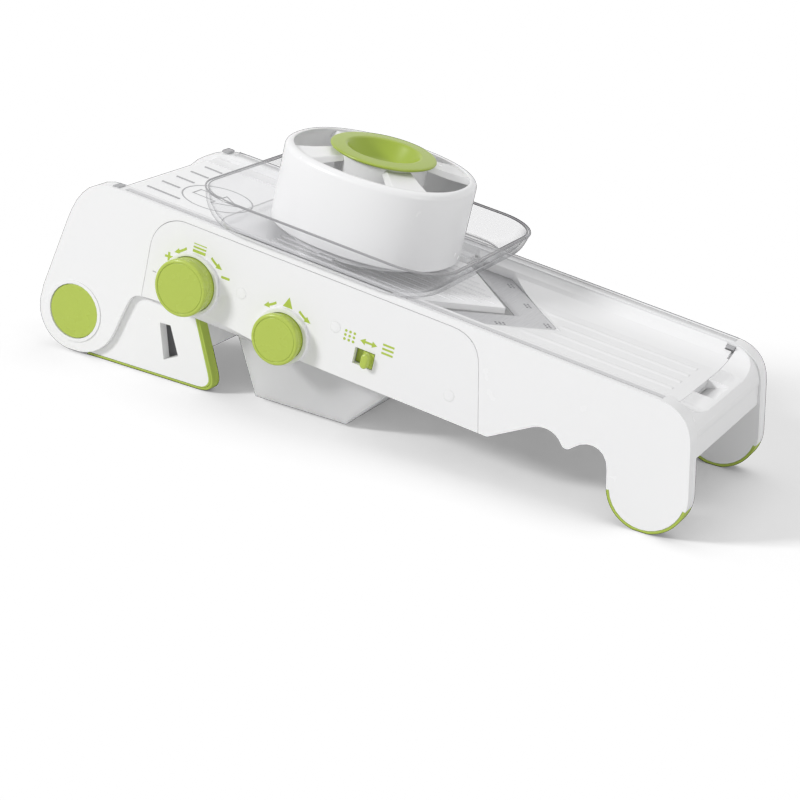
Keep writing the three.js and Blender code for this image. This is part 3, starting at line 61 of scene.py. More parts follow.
DECK_SLOPE = math.radians(5.2)
DECK_PLACE = (-169.93665, 2.5, 104.6)
HALF_WIDTH = 65.0
STAND_PIVOT = (0.0, -80.3)
THICKNESS_MARK = (71.8, -36.9)
COMB_MARK = (133.5, -45.4)
MILLIMETRE = 0.001
SMOOTH_ANGLE = math.radians(32)
SHARP_ANGLE = math.radians(35)
FLAT_ANGLE = math.radians(0.4)
ROUND_STEPS = 128
CORNER_STEPS = 12
SIDE_STEPS = 16
NOISE_LOW = 0.25
NOISE_HIGH = 0.75
PALE = (0.845, 0.845, 0.85)
BRIGHT = (0.88, 0.88, 0.88)
LIME = (0.43, 0.535, 0.082)


class Side(Enum):
    """The two long sides of the slicer."""

    NEAR = -1
    FAR = 1

    @property
    def word(self) -> str:
        """The side's name, as the pieces use it."""
        return self.name.lower()

    def span(self, inner: float, outer: float) -> Span:
        """Two distances from the middle as places across the deck, the smaller one first."""
        low, high = sorted((self.value * inner, self.value * outer))
        return low, high


class Body(Enum):
    """The moving bodies that pieces ride on."""

    BASE = "base"
    RAMP = "ramp"
    THICKNESS = "thickness_set"
    COMBS = "comb_set"
    SELECTOR = "selector"
    STAND = "stand"
    DISH = "dish"
    DRUM = "drum"
    PUSHER = "pusher"


class Slot(Enum):
    """The material slots of the part."""

    WHITE = "white"
    GREEN = "green"
    RUBBER = "green_rubber"
    STEEL = "steel"
    CLEAR = "clear"
    FROSTED = "frosted"
    INNER = "inner"


class Pattern(Enum):
    """How a repeated item is laid out."""

    GRID = "grid"
    LINE = "line"


# Node trees


class Tree:
    """A material's node tree, with short ways to add and join nodes."""

    def __init__(self, name: str) -> None:
        """Starts an empty material.

        Args:
            name: The material's name.
        """
        self.material = bpy.data.materials.new(name)
        self.material.use_nodes = True
        self.nodes = self.material.node_tree.nodes
        self.links = self.material.node_tree.links
        self.nodes.clear()
        self.output = self.nodes.new("ShaderNodeOutputMaterial")
        self.place = self.add("ShaderNodeTexCoord").outputs["Object"]

    def add(self, kind: str, settings: dict[str, object] | None = None, **inputs: object) -> bpy.types.Node:
        """Adds a node.

        Args:
            kind: The node's type name.
            settings: Attributes of the node.
            inputs: Input values or sockets to join, by input name with underscores for spaces.

        Returns:
            The new node.
        """
        node = self.nodes.new(kind)
        for key, value in (settings or {}).items():
            setattr(node, key, value)
        for key, value in inputs.items():
            self.join(node.inputs[key.replace("_", " ")], value)
        return node

    def principled(self, **inputs: object) -> bpy.types.Node:
        """Adds the main shader with its inputs."""
        return self.add("ShaderNodeBsdfPrincipled", **inputs)

    def join(self, socket: Socket, value: object) -> None:
        """Sets an input to a value, or links it.

        Args:
            socket: The input.
            value: A value, or the output that feeds it.
        """
        if isinstance(value, Socket):
            self.links.new(value, socket)
        else:
            socket.default_value = value

    def noise(self, scale: float, detail: float = 2.0, stretch: Point | None = None) -> Socket:
        """A noise value over the object's own place.

        Args:
            scale: Cells in a metre.
            detail: Octaves.
            stretch: Scales of the three axes, for grain that runs one way.

        Returns:
            The noise, from 0 to 1.
        """
        vector = self.place
        if stretch:
            mapping = self.add("ShaderNodeMapping", Vector=self.place)
            mapping.inputs["Scale"].default_value = stretch
            vector = mapping.outputs["Vector"]
        node = self.add("ShaderNodeTexNoise", Vector=vector, Scale=scale, Detail=detail)
        return node.outputs["Fac"]

    def remap(self, value: Socket, source: Span, target: Span, smooth: bool = False) -> Socket:
        """Maps a value from one range onto another, and holds it there.

        Args:
            value: The value's output.
            source: The range that it comes from.
            target: What the ends of that range become.
            smooth: Whether it starts and ends softly.

        Returns:
            The mapped output.
        """
        node = self.add("ShaderNodeMapRange", Value=value)
        if smooth:
            node.interpolation_type = "SMOOTHSTEP"
        node.inputs["From Min"].default_value, node.inputs["From Max"].default_value = source
        node.inputs["To Min"].default_value, node.inputs["To Max"].default_value = target
        return node.outputs["Result"]

    def spread(self, value: Socket, low: float, high: float) -> Socket:
        """Spreads the usual reach of a noise over a range."""
        return self.remap(value, (NOISE_LOW, NOISE_HIGH), (low, high))

    def blend(self, share: Socket, first: Colour, second: Colour) -> Socket:
        """A colour between two, by a share.

        Args:
            share: The share of the second colour.
            first: The colour at 0.
            second: The colour at 1.

        Returns:
            The colour output.
        """
        node = self.add("ShaderNodeMix", {"data_type": "RGBA"})
        self.join(node.inputs[0], share)
        node.inputs[6].default_value = (*first, 1)
        node.inputs[7].default_value = (*second, 1)
        return node.outputs[2]

    def edges(self, radius: float) -> tuple[Socket, Socket]:
        """A softened normal, and how near a sharp edge a point is.

        Args:
            radius: The radius of the softened edges, in metres.

        Returns:
            The normal's output, and a share that is 0 on flat ground.
        """
        soft = self.add("ShaderNodeBevel", {"samples": 4}, Radius=radius).outputs["Normal"]
        sharp = self.add("ShaderNodeNewGeometry").outputs["Normal"]
        dot = self.add("ShaderNodeVectorMath", {"operation": "DOT_PRODUCT"})
        self.join(dot.inputs[0], soft)
        self.join(dot.inputs[1], sharp)
        return soft, self.remap(dot.outputs["Value"], (1.0, 0.8), (0.0, 1.0))

    def bump(self, height: Socket, depth: float, normal: Socket | None) -> Socket:
        """A bumped normal.

        Args:
            height: The height's output.
            depth: The depth of the bumps, in metres.
            normal: The normal under the bumps, or none.

        Returns:
            The normal's output.
        """
        node = self.add("ShaderNodeBump", Height=height, Distance=depth, Strength=1.0)
        if normal is not None:
            self.join(node.inputs["Normal"], normal)
        return node.outputs["Normal"]

    def mix(self, share: Socket | float, first: Socket, second: Socket) -> Socket:
        """Mixes two shaders.

        Args:
            share: The share of the second shader.
            first: The shader at 0.
            second: The shader at 1.

        Returns:
            The mixed shader's output.
        """
        node = self.add("ShaderNodeMixShader", Fac=share)
        self.join(node.inputs[1], first)
        self.join(node.inputs[2], second)
        return node.outputs[0]

    def surface(self, shader: Socket) -> Material:
        """Joins a shader to the output and returns the material."""
        self.links.new(shader, self.output.inputs["Surface"])
        return self.material


# Finishes


@dataclass(frozen=True)
class MouldedPlastic:
    """Opaque moulded plastic: a fine eroded grain, faint flow marks and slightly worn edges."""

    name: str
    colour: Colour
    worn: Colour
    roughness: float = 0.28
    grain: float = 1400.0
    grain_depth: float = 0.000004
    edge_radius: float = 0.0003
    flow_scale: float = 9.0
    flow_shade: float = 0.985
    wear_scale: float = 60.0
    wear_most: float = 0.6
    gloss_scale: float = 90.0
    gloss_reach: Span = (-0.01, 0.015)

    def material(self) -> Material:
        """Builds the material.

        Returns:
            The material.
        """
        tree = Tree(self.name)
        soft, near_edge = tree.edges(self.edge_radius)
        flow = tree.spread(tree.noise(self.flow_scale), 0.0, 1.0)
        darker = tuple(c * self.flow_shade for c in self.colour)
        body = tree.blend(flow, self.colour, darker)
        wear = tree.add("ShaderNodeMath", {"operation": "MULTIPLY", "use_clamp": True})
        tree.join(wear.inputs[0], near_edge)
        tree.join(wear.inputs[1], tree.spread(tree.noise(self.wear_scale, 4), 0.0, self.wear_most))
        mixed = tree.add("ShaderNodeMix", {"data_type": "RGBA"})
        tree.join(mixed.inputs[0], wear.outputs[0])
        tree.join(mixed.inputs[6], body)
        mixed.inputs[7].default_value = (*self.worn, 1)
        low, high = (self.roughness + change for change in self.gloss_reach)
        rough = tree.spread(tree.noise(self.gloss_scale, 3), low, high)
        normal = tree.bump(tree.noise(self.grain), self.grain_depth, soft)
        shader = tree.principled(Base_Color=mixed.outputs[2], Roughness=rough, Normal=normal)
        return tree.surface(shader.outputs[0])


@dataclass(frozen=True)
class SoftRubber:
    """Matt moulded rubber with a fine stipple."""

    name: str
    colour: Colour
    roughness: float = 0.62

    def material(self) -> Material:
        """Builds the material.

        Returns:
            The material.
        """
        tree = Tree(self.name)
        soft, near_edge = tree.edges(0.0004)
        darker = tuple(c * 0.93 for c in self.colour)
        colour = tree.blend(tree.spread(tree.noise(40, 4), 0.0, 1.0), self.colour, darker)
        cells = tree.add("ShaderNodeTexVoronoi", Vector=tree.place, Scale=1500.0).outputs["Distance"]
        normal = tree.bump(cells, 0.00003, soft)
        rough = tree.spread(near_edge, self.roughness, self.roughness - 0.08)
        shader = tree.principled(Base_Color=colour, Roughness=rough, Normal=normal)
        return tree.surface(shader.outputs[0])


@dataclass(frozen=True)
class BrushedSteel:
    """Stainless steel, brushed across the deck."""

    name: str
    colour: Colour
    roughness: float = 0.3
    stretch: Point = (2600.0, 90.0, 2600.0)

    def material(self) -> Material:
        """Builds the material.

        Returns:
            The material.
        """
        tree = Tree(self.name)
        brushed = tree.noise(1.0, 4, self.stretch)
        darker = tuple(c * 0.86 for c in self.colour)
        colour = tree.blend(tree.spread(brushed, 0.0, 1.0), self.colour, darker)
        rough = tree.spread(brushed, self.roughness - 0.06, self.roughness + 0.1)
        soft, _ = tree.edges(0.0002)
        normal = tree.bump(brushed, 0.000006, soft)
        shader = tree.principled(Base_Color=colour, Roughness=rough, Normal=normal)
        shader.inputs["Metallic"].default_value = 1.0
        return tree.surface(shader.outputs[0])


@dataclass(frozen=True)
class ClearPlastic:
    """Thin clear plastic: see-through face on, glossy where it turns away, with an opaque grey mixed in
    there as painted shade of its edges.
    """

    name: str
    tint: Colour
    # The edge colour below and the last two fields paint an opaque grey shade where the face turns away.
    edge: Colour
    deep: Colour = (0.8, 0.8, 0.81)
    tint_turn: float = 0.6
    gloss_turn: float = 0.3
    gloss_shares: Span = (0.03, 0.3)
    edge_turn: float = 0.75
    edge_shares: Span = (0.01, 0.25)

    def material(self) -> Material:
        """Builds the material.

        Returns:
            The material.
        """
        tree = Tree(self.name)
        wave = tree.bump(tree.noise(30, 2), 0.00008, None)
        facing = tree.add("ShaderNodeLayerWeight", Blend=0.5, Normal=wave).outputs["Facing"]
        thicker = tree.remap(facing, (self.tint_turn, 1.0), (0.0, 1.0), smooth=True)
        colour = tree.blend(thicker, self.tint, self.deep)
        through = tree.add("ShaderNodeBsdfTransparent", Color=colour)
        rough = tree.spread(tree.noise(120, 3), 0.04, 0.09)
        gloss = tree.add("ShaderNodeBsdfGlossy", Roughness=rough, Normal=wave)
        # Opaque grey mixed in where the face turns away: painted shade for the dark lines of the clear
        # edges.
        solid = tree.principled(Roughness=rough, Normal=wave)
        solid.inputs["Base Color"].default_value = (*self.edge, 1)
        glossy = tree.remap(facing, (self.gloss_turn, 1.0), self.gloss_shares, smooth=True)
        clear = tree.mix(glossy, through.outputs[0], gloss.outputs[0])
        turned = tree.remap(facing, (self.edge_turn, 1.0), self.edge_shares, smooth=True)
        front = tree.mix(turned, clear, solid.outputs[0])
        back = tree.add("ShaderNodeNewGeometry").outputs["Backfacing"]
        body = tree.mix(back, front, through.outputs[0])
        path = tree.add("ShaderNodeLightPath")
        return tree.surface(tree.mix(path.outputs["Is Shadow Ray"], body, through.outputs[0]))


@dataclass(frozen=True)
class FrostedPlastic:
    """Milky plastic that lets light and dim shapes through."""

    name: str
    milk: Colour
    seen_through: float = 0.3

    def material(self) -> Material:
        """Builds the material.

        Returns:
            The material.
        """
        tree = Tree(self.name)
        stipple = tree.bump(tree.noise(900, 2), 0.00002, None)
        cloud = tree.spread(tree.noise(22, 3), 0.0, 1.0)
        milk = tree.blend(cloud, self.milk, tuple(c * 0.97 for c in self.milk))
        skin = tree.principled(Base_Color=milk, Normal=stipple)
        tree.join(skin.inputs["Roughness"], tree.spread(tree.noise(150, 2), 0.36, 0.46))
        glow = tree.add("ShaderNodeBsdfTranslucent", Color=milk, Normal=stipple)
        body = tree.mix(0.5, skin.outputs[0], glow.outputs[0])
        through = tree.add("ShaderNodeBsdfTransparent")
        return tree.surface(tree.mix(self.seen_through, body, through.outputs[0]))


@dataclass(frozen=True)
class PrintedInk:
    """A thin print with a slightly uneven edge to its gloss."""

    name: str
    colour: Colour

    def material(self) -> Material:
        """Builds the material.

        Returns:
            The material.
        """
        tree = Tree(self.name)
        darker = tuple(c * 0.9 for c in self.colour)
        colour = tree.blend(tree.spread(tree.noise(700, 3), 0.0, 1.0), self.colour, darker)
        rough = tree.spread(tree.noise(300, 2), 0.38, 0.5)
        shader = tree.principled(Base_Color=colour, Roughness=rough)
        return tree.surface(shader.outputs[0])


class Finish(Protocol):
    """Anything that can make its material."""

    def material(self) -> Material:
        """Builds the material."""


def made(finish: Finish) -> Material:
    """A field whose material is made once, when the finishes are."""
    return field(default_factory=finish.material)


@dataclass
class Finishes:
    """Every finish of the slicer, made once."""

    white: Material = made(MouldedPlastic("white_plastic", PALE, BRIGHT, 0.26))
    panel: Material = made(MouldedPlastic("panel_plastic", (0.83, 0.83, 0.835), BRIGHT, 0.36))
    green: Material = made(MouldedPlastic("green_plastic", LIME, (0.56, 0.66, 0.17), 0.27, 1100.0, 0.000012))
    # Dark green for the switch bar: painted shade of green plastic in the slider's slot.
    deep_green: Material = made(
        MouldedPlastic("deep_green_plastic", (0.03, 0.09, 0.012), (0.05, 0.12, 0.02), 0.4)
    )
    rubber: Material = made(SoftRubber("green_rubber", (0.39, 0.5, 0.075)))
    steel: Material = made(BrushedSteel("blade_steel", (0.53, 0.53, 0.54), 0.36))
    weld: Material = made(BrushedSteel("weld_steel", (0.2, 0.2, 0.21), 0.5))
    rod: Material = made(BrushedSteel("rod_steel", (0.55, 0.55, 0.56), 0.28, (2600.0, 60.0, 60.0)))
    # Its second colour is the grey painted as shade where the dish's faces turn away.
    clear: Material = made(ClearPlastic("clear_plastic", (0.985, 0.985, 0.988), (0.36, 0.36, 0.37)))
    # Opaque grey for the dish's outer rim bead: painted shade of the clear rim.
    clear_edge: Material = made(
        MouldedPlastic("clear_edge_plastic", (0.31, 0.31, 0.32), (0.5, 0.5, 0.5), 0.2)
    )
    cap: Material = made(MouldedPlastic("cap_plastic", (0.35, 0.45, 0.052), (0.5, 0.6, 0.12), 0.33))
    tray: Material = made(MouldedPlastic("tray_plastic", PALE, BRIGHT, 0.34, edge_radius=0.00005))
    ramp: Material = made(MouldedPlastic("ramp_plastic", (0.93, 0.93, 0.935), (0.95, 0.95, 0.95), 0.3))
    frosted: Material = made(FrostedPlastic("frosted_plastic", (0.93, 0.93, 0.935)))
    # Grey for the inner mouldings, also painted shade in the rail's groove and on the dish's foot line.
    inner: Material = made(MouldedPlastic("inner_plastic", (0.62, 0.62, 0.63), (0.72, 0.72, 0.72), 0.42))
    # Dark grey for raised marks, the tick and the rail stops, also painted shade on the far rail's edge, the
    # latch notches, the grip grooves and the dish's inner rim.
    line: Material = made(MouldedPlastic("line_plastic", (0.4, 0.4, 0.41), (0.5, 0.5, 0.5), 0.42))
    # Near black for the sheets behind the stand's windows: painted shade.
    pocket: Material = made(MouldedPlastic("pocket_plastic", (0.085, 0.085, 0.09), (0.12, 0.12, 0.12), 0.5))
    ink: Material = made(PrintedInk("green_print", (0.43, 0.56, 0.065)))


# Mesh making


def deck_matrix() -> Matrix:
    """From the deck's frame in millimetres to the part's frame in metres."""
    turn = Matrix.Rotation(DECK_SLOPE, 4, "Y")
    return Matrix.Scale(MILLIMETRE, 4) @ Matrix.Translation(DECK_PLACE) @ turn


class Clay:
    """A mesh in the making, in the deck's frame, from closed shapes added one by one."""

    def __init__(self) -> None:
        """Starts with nothing."""
        self.mesh = bmesh.new()

    def skin(self, rings: Sequence[Sequence[Point]], closed: bool = False) -> "Clay":
        """Adds a skin over rings of the same count, capped at both ends or joined in a loop.

        Args:
            rings: The rings of points.
            closed: Whether the last ring joins the first.

        Returns:
            This mesh.
        """
        corners = [[self.mesh.verts.new(p) for p in ring] for ring in rings]
        fresh = self.bridge([*corners, corners[0]] if closed else corners)
        if not closed:
            fresh.append(self.mesh.faces.new(list(reversed(corners[0]))))
            fresh.append(self.mesh.faces.new(corners[-1]))
        bmesh.ops.recalc_face_normals(self.mesh, faces=fresh)
        return self

    def bridge(self, rings: Sequence[Sequence[bmesh.types.BMVert]]) -> list[bmesh.types.BMFace]:
        """Joins each ring of corners to the next one with faces.

        Args:
            rings: The rings, all of the same count.

        Returns:
            The faces.
        """
        faces = []
        count = len(rings[0])
        for low, high in zip(rings, rings[1:]):
            for i in range(count):
                j = (i + 1) % count
                faces.append(self.mesh.faces.new((low[i], low[j], high[j], high[i])))
        return faces

    def lathe(self, profile: Sequence[Flat], place: Matrix, steps: int = ROUND_STEPS) -> "Clay":
        """Adds a profile of (radius, height) points turned about the local Z axis.

        Args:
            profile: The profile; its ends lie on the axis, or it closes on itself.
            place: Where the local frame goes.
            steps: The number of sides.

        Returns:
            This mesh.
        """
        on_axis = profile[0][0] == 0
        body = profile[1:-1] if on_axis else profile
        turns = [2 * math.pi * i / steps for i in range(steps)]
        rings = []
        for r, z in body:
            rings.append([tuple(place @ Vector((r * math.cos(a), r * math.sin(a), z))) for a in turns])
        if not on_axis:
            return self.skin(rings, closed=True)
        corners = [[self.mesh.verts.new(p) for p in ring] for ring in rings]
        fresh = self.bridge(corners)
        for ring, height in ((corners[0], profile[0][1]), (corners[-1], profile[-1][1])):
            pole = self.mesh.verts.new(place @ Vector((0, 0, height)))
            for i in range(steps):
                fresh.append(self.mesh.faces.new((ring[i], ring[(i + 1) % steps], pole)))
        bmesh.ops.recalc_face_normals(self.mesh, faces=fresh)
        return self

    def side_plate(self, outline: Sequence[Flat], low: float, high: float) -> "Clay":
        """Adds a side view outline of (x, z) points given thickness along Y."""
        return self.skin([[(x, y, z) for x, z in outline] for y in (low, high)])

    def slab(self, outline: Sequence[Flat], low: float, high: float) -> "Clay":
        """Adds a plan outline of (x, y) points given thickness along Z."""
        return self.skin([[(x, y, z) for x, y in outline] for z in (low, high)])

    def block(self, low: Point, high: Point) -> "Clay":
        """Adds a box between two corners."""
        (left, front, bottom), (right, back, top) = low, high
        return self.slab([(left, front), (right, front), (right, back), (left, back)], bottom, top)

    def take(self, mesh: bpy.types.Mesh, place: Matrix) -> "Clay":
        """Adds a copy of a mesh.

        Args:
            mesh: The mesh.
            place: Where it goes.

        Returns:
            This mesh.
        """
        before = len(self.mesh.verts)
        self.mesh.from_mesh(mesh)
        self.mesh.verts.ensure_lookup_table()
        bmesh.ops.transform(self.mesh, matrix=place, verts=self.mesh.verts[before:])
        return self

    def copy_node(self, node: str) -> "Clay":
        """Adds a merged copy of one of the part's solids, with its flat faces joined up.

        Args:
            node: The solid's name.

        Returns:
            This mesh.
        """
        self.mesh.from_mesh(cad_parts[node].data)
        return self.move(deck_matrix().inverted()).merge(0.002)

    def move(self, place: Matrix) -> "Clay":
        """Moves the whole mesh."""
        bmesh.ops.transform(self.mesh, matrix=place, verts=self.mesh.verts)
        return self

    def merge(self, near: float) -> "Clay":
        """Merges corners and joins up flat faces.

        Args:
            near: How near to each other the merged corners lie.

        Returns:
            This mesh.
        """
        corners, edges = self.mesh.verts, self.mesh.edges
        bmesh.ops.remove_doubles(self.mesh, verts=corners, dist=near)
        bmesh.ops.dissolve_limit(self.mesh, angle_limit=FLAT_ANGLE, verts=corners, edges=edges)
        return self

    def round(self, width: float, chosen: EdgeChoice, segments: int = 3) -> "Clay":
        """Rounds sharp edges.

        Args:
            width: How far the rounding reaches from the edge.
            chosen: Says which edges, from an edge's two ends and its middle.
            segments: The steps of the rounding.

        Returns:
            This mesh.
        """
        edges = [
            e
            for e in self.mesh.edges
            if len(e.link_faces) == 2
            and e.calc_face_angle_signed() > SHARP_ANGLE
            and chosen(e.verts[0].co, e.verts[1].co, (e.verts[0].co + e.verts[1].co) / 2)
        ]
        bmesh.ops.bevel(
            self.mesh,
            geom=edges,
            offset=width,
            offset_type="OFFSET",
            segments=segments,
            profile=0.5,
            affect="EDGES",
            clamp_overlap=True,
        )
        return self

    def piece(
        self, name: str, body: Body, slot: Slot, material: Material, stands_for: Sequence[str] = ()
    ) -> bpy.types.Object:
        """Finishes the mesh as a piece of the slicer.

        Args:
            name: The piece's name.
            body: The body that it rides on.
            slot: The material slot; not used.
            material: Its material.
            stands_for: The solids that it replaces.

        Returns:
            The piece.
        """
        mesh = self.move(deck_matrix()).plain_mesh(name)
        mesh.shade_smooth()
        mesh.set_sharp_from_angle(angle=SMOOTH_ANGLE)
        mesh.materials.append(material)
        thing = bpy.data.objects.new(name, mesh)
        bpy.context.scene.collection.objects.link(thing)
        even = thing.modifiers.new("even_shading", "WEIGHTED_NORMAL")
        even.keep_sharp = True
        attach(thing, body.value)
        if stands_for:
            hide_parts(*stands_for)
        log.info("%s: %d faces on %s", name, len(mesh.polygons), body.value)
        return thing

    def dress(self, node: str, body: Body, slot: Slot, material: Material) -> bpy.types.Object:
        """Finishes the mesh as the piece that stands for one of the part's solids."""
        return self.piece(f"{node}_dressed", body, slot, material, [node])

    def plain_mesh(self, name: str) -> bpy.types.Mesh:
        """Ends the making.

        Args:
            name: The mesh's name.

        Returns:
            The bare mesh.
        """
        mesh = bpy.data.meshes.new(name)
        self.mesh.to_mesh(mesh)
        self.mesh.free()
        return mesh


@dataclass
class Repeater:
    """A node tree that repeats one small item over a grid or a line."""

    pattern: Pattern
    tree: bpy.types.NodeTree = field(init=False)
    sockets: dict[str, str] = field(init=False)

    def __post_init__(self) -> None:
        """Builds the tree with its named inputs."""
        self.tree = bpy.data.node_groups.new(f"repeat_{self.pattern.value}", "GeometryNodeTree")
        face = self.tree.interface
        face.new_socket("Geometry", in_out="OUTPUT", socket_type="NodeSocketGeometry")
        self.sockets = {
            name: face.new_socket(name, in_out="INPUT", socket_type=kind).identifier
            for name, kind in (
                ("Geometry", "NodeSocketGeometry"),
                ("Item", "NodeSocketObject"),
                ("Columns", "NodeSocketInt"),
                ("Rows", "NodeSocketInt"),
                ("Column pitch", "NodeSocketFloat"),
                ("Row pitch", "NodeSocketFloat"),
                ("Reach", "NodeSocketFloat"),
                ("Length", "NodeSocketFloat"),
                ("Taper", "NodeSocketFloat"),
                ("Finish", "NodeSocketMaterial"),
            )
        }
        asked = self.tree.nodes.new("NodeGroupInput").outputs
        lay = self.lay_grid if self.pattern is Pattern.GRID else self.lay_line
        points = lay(asked)
        place = self.add("GeometryNodeInputPosition").outputs[0]
        away = self.add("ShaderNodeVectorMath", {0: place}, operation="LENGTH").outputs["Value"]
        compare = {"data_type": "FLOAT", "operation": "GREATER_THAN"}
        beyond = self.add("FunctionNodeCompare", {0: away, 1: asked["Reach"]}, **compare).outputs[0]
        kept = self.add("GeometryNodeDeleteGeometry", {"Geometry": points, "Selection": beyond}).outputs[0]
        item = self.add("GeometryNodeObjectInfo", {"Object": asked["Item"]}).outputs["Geometry"]
        shrink = self.calculate("MULTIPLY", self.calculate("ABSOLUTE", self.across(place)), asked["Taper"])
        length = self.calculate("SUBTRACT", asked["Length"], shrink)
        scale = self.add("ShaderNodeCombineXYZ", {"X": length, "Y": 1, "Z": 1}).outputs[0]
        copies = {"Points": kept, "Instance": item, "Scale": scale}
        placed = self.add("GeometryNodeInstanceOnPoints", copies).outputs[0]
        real = self.add("GeometryNodeRealizeInstances", {0: placed}).outputs[0]
        finished = {"Geometry": real, "Material": asked["Finish"]}
        self.add("NodeGroupOutput", {0: self.add("GeometryNodeSetMaterial", finished).outputs[0]})

    def add(
        self, kind: str, inputs: dict[int | str, object] | None = None, **settings: object
    ) -> bpy.types.Node:
        """Adds a node.

        Args:
            kind: The node's type name.
            inputs: Values or sockets to join, by the input's name or number.
            settings: Attributes of the node.

        Returns:
            The new node.
        """
        node = self.tree.nodes.new(kind)
        for key, value in settings.items():
            setattr(node, key, value)
        for key, value in (inputs or {}).items():
            if isinstance(value, Socket):
                self.tree.links.new(value, node.inputs[key])
            else:
                node.inputs[key].default_value = value
        return node

    def calculate(self, operation: str, *values: Socket | float) -> Socket:
        """Adds one step of a calculation and returns its output."""
        return self.add("ShaderNodeMath", dict(enumerate(values)), operation=operation).outputs[0]

    def across(self, place: Socket) -> Socket:
        """The Y part of a place."""
        return self.add("ShaderNodeSeparateXYZ", {0: place}).outputs["Y"]

    def lay_grid(self, asked: bpy.types.NodeOutputs) -> Socket:
        """Adds a grid of points.

        Args:
            asked: The tree's inputs.

        Returns:
            The grid's output.
        """
        inputs = {}
        for axis, count, pitch in (("X", "Columns", "Column pitch"), ("Y", "Rows", "Row pitch")):
            gaps = self.calculate("SUBTRACT", asked[count], 1)
            inputs[f"Size {axis}"] = self.calculate("MULTIPLY", gaps, asked[pitch])
            inputs[f"Vertices {axis}"] = asked[count]
        return self.add("GeometryNodeMeshGrid", inputs).outputs["Mesh"]

    def lay_line(self, asked: bpy.types.NodeOutputs) -> Socket:
        """Adds a line of points along Y about the origin.

        Args:
            asked: The tree's inputs.

        Returns:
            The line's output.
        """
        span = self.calculate("MULTIPLY", self.calculate("SUBTRACT", asked["Rows"], 1), asked["Row pitch"])
        start = self.add("ShaderNodeCombineXYZ", {"Y": self.calculate("MULTIPLY", span, -0.5)}).outputs[0]
        step = self.add("ShaderNodeCombineXYZ", {"Y": asked["Row pitch"]}).outputs[0]
        inputs = {"Count": asked["Rows"], "Start Location": start, "Offset": step}
        return self.add("GeometryNodeMeshLine", inputs).outputs["Mesh"]

    def spread(
        self,
        item: Clay,
        rows: int,
        pitch: Flat,
        finish: Material,
        columns: int = 1,
        reach: float = 1e6,
        length: float = 1.0,
        taper: float = 0.0,
    ) -> bpy.types.Mesh:
        """Repeats an item and returns the result as one mesh, in millimetres.

        Args:
            item: The item.
            rows: Copies along Y.
            pitch: The steps along X and Y.
            finish: The material of the copies.
            columns: Copies along X.
            reach: Copies further than this from the middle are left out.
            length: The copies' scale along X at the middle.
            taper: How much shorter they are for each millimetre from the middle.

        Returns:
            The mesh.
        """
        seed = bpy.data.objects.new("repeat_item", item.plain_mesh("repeat_item"))
        holder = bpy.data.objects.new("repeat_holder", bpy.data.meshes.new("repeat_holder"))
        for thing in (seed, holder):
            bpy.context.scene.collection.objects.link(thing)
        modifier = holder.modifiers.new("repeat", "NODES")
        modifier.node_group = self.tree
        for name, value in (
            ("Item", seed),
            ("Columns", columns),
            ("Rows", rows),
            ("Column pitch", float(pitch[0])),
            ("Row pitch", float(pitch[1])),
            ("Reach", float(reach)),
            ("Length", float(length)),
            ("Taper", float(taper)),
            ("Finish", finish),
        ):
            modifier[self.sockets[name]] = value
        bpy.context.view_layer.update()
        evaluated = holder.evaluated_get(bpy.context.evaluated_depsgraph_get())
        mesh = bpy.data.meshes.new_from_object(evaluated)
        holder.modifiers.remove(modifier)
        for thing in (seed, holder):
            bpy.data.objects.remove(thing)
        return mesh


def arc(centre: Flat, radius: float, start: float, end: float, steps: int) -> list[Flat]:
    """Points along an arc.

    Args:
        centre: The arc's centre.
        radius: The arc's radius.
        start: The first angle, in degrees.
        end: The last angle, in degrees.
        steps: The number of steps.

    Returns:
        The points.
    """
    turns = (math.radians(start + (end - start) * i / steps) for i in range(steps + 1))
    return [(centre[0] + radius * math.cos(a), centre[1] + radius * math.sin(a)) for a in turns]


# Shared shapes


def table_height(x: float) -> float:
    """The height of the surface that the slicer stands on, at one place along the deck."""
    return (x * math.sin(DECK_SLOPE) - DECK_PLACE[2]) / math.cos(DECK_SLOPE)


def sideways(side: Side, x: float, z: float) -> Matrix:
    """A frame on one side's outer face, with its Z axis pointing away from the slicer.

    Args:
        side: The side.
        x: The place along the deck.
        z: The height in the deck's frame.

    Returns:
        The frame.
    """
    place = Matrix.Translation((x, side.value * HALF_WIDTH, z))
    return place @ Matrix.Rotation(math.radians(-90 * side.value), 4, "X")


def fillet(corner: Flat, radius: float, start: float, steps: int = 5) -> list[Flat]:
    """A quarter round inside a corner of a profile.

    Args:
        corner: The centre of the quarter round.
        radius: Its radius.
        start: The angle that it starts at, in degrees; it turns 90 degrees on.
        steps: The number of steps.

    Returns:
        The points.
    """
    return arc(corner, radius, start, start + 90, steps)


def rectangle_ring(half_x: float, half_y: float, radius: float, z: float, centre_x: float) -> list[Point]:
    """A rounded rectangle in plan with points along its straight sides too.

    Args:
        half_x: Half its length.
        half_y: Half its width.
        radius: The radius of its corners.
        z: Its height.
        centre_x: The place of its middle along the deck.

    Returns:
        The ring.
    """
    ring: list[Flat] = []
    for quarter in range(4):
        sign_x = 1 if quarter in (0, 3) else -1
        sign_y = 1 if quarter < 2 else -1
        centre = (sign_x * (half_x - radius), sign_y * (half_y - radius))
        ring.extend(fillet(centre, radius, quarter * 90, CORNER_STEPS))
        ahead_x = 1 if (quarter + 1) % 4 in (0, 3) else -1
        ahead_y = 1 if (quarter + 1) % 4 < 2 else -1
        turn = math.radians(quarter * 90 + 90)
        start = ring[-1]
        end = (
            ahead_x * (half_x - radius) + radius * math.cos(turn),
            ahead_y * (half_y - radius) + radius * math.sin(turn),
        )
        for step in range(1, SIDE_STEPS):
            share = step / SIDE_STEPS
            ring.append((start[0] + (end[0] - start[0]) * share, start[1] + (end[1] - start[1]) * share))
    return [(centre_x + x, y, z) for x, y in ring]


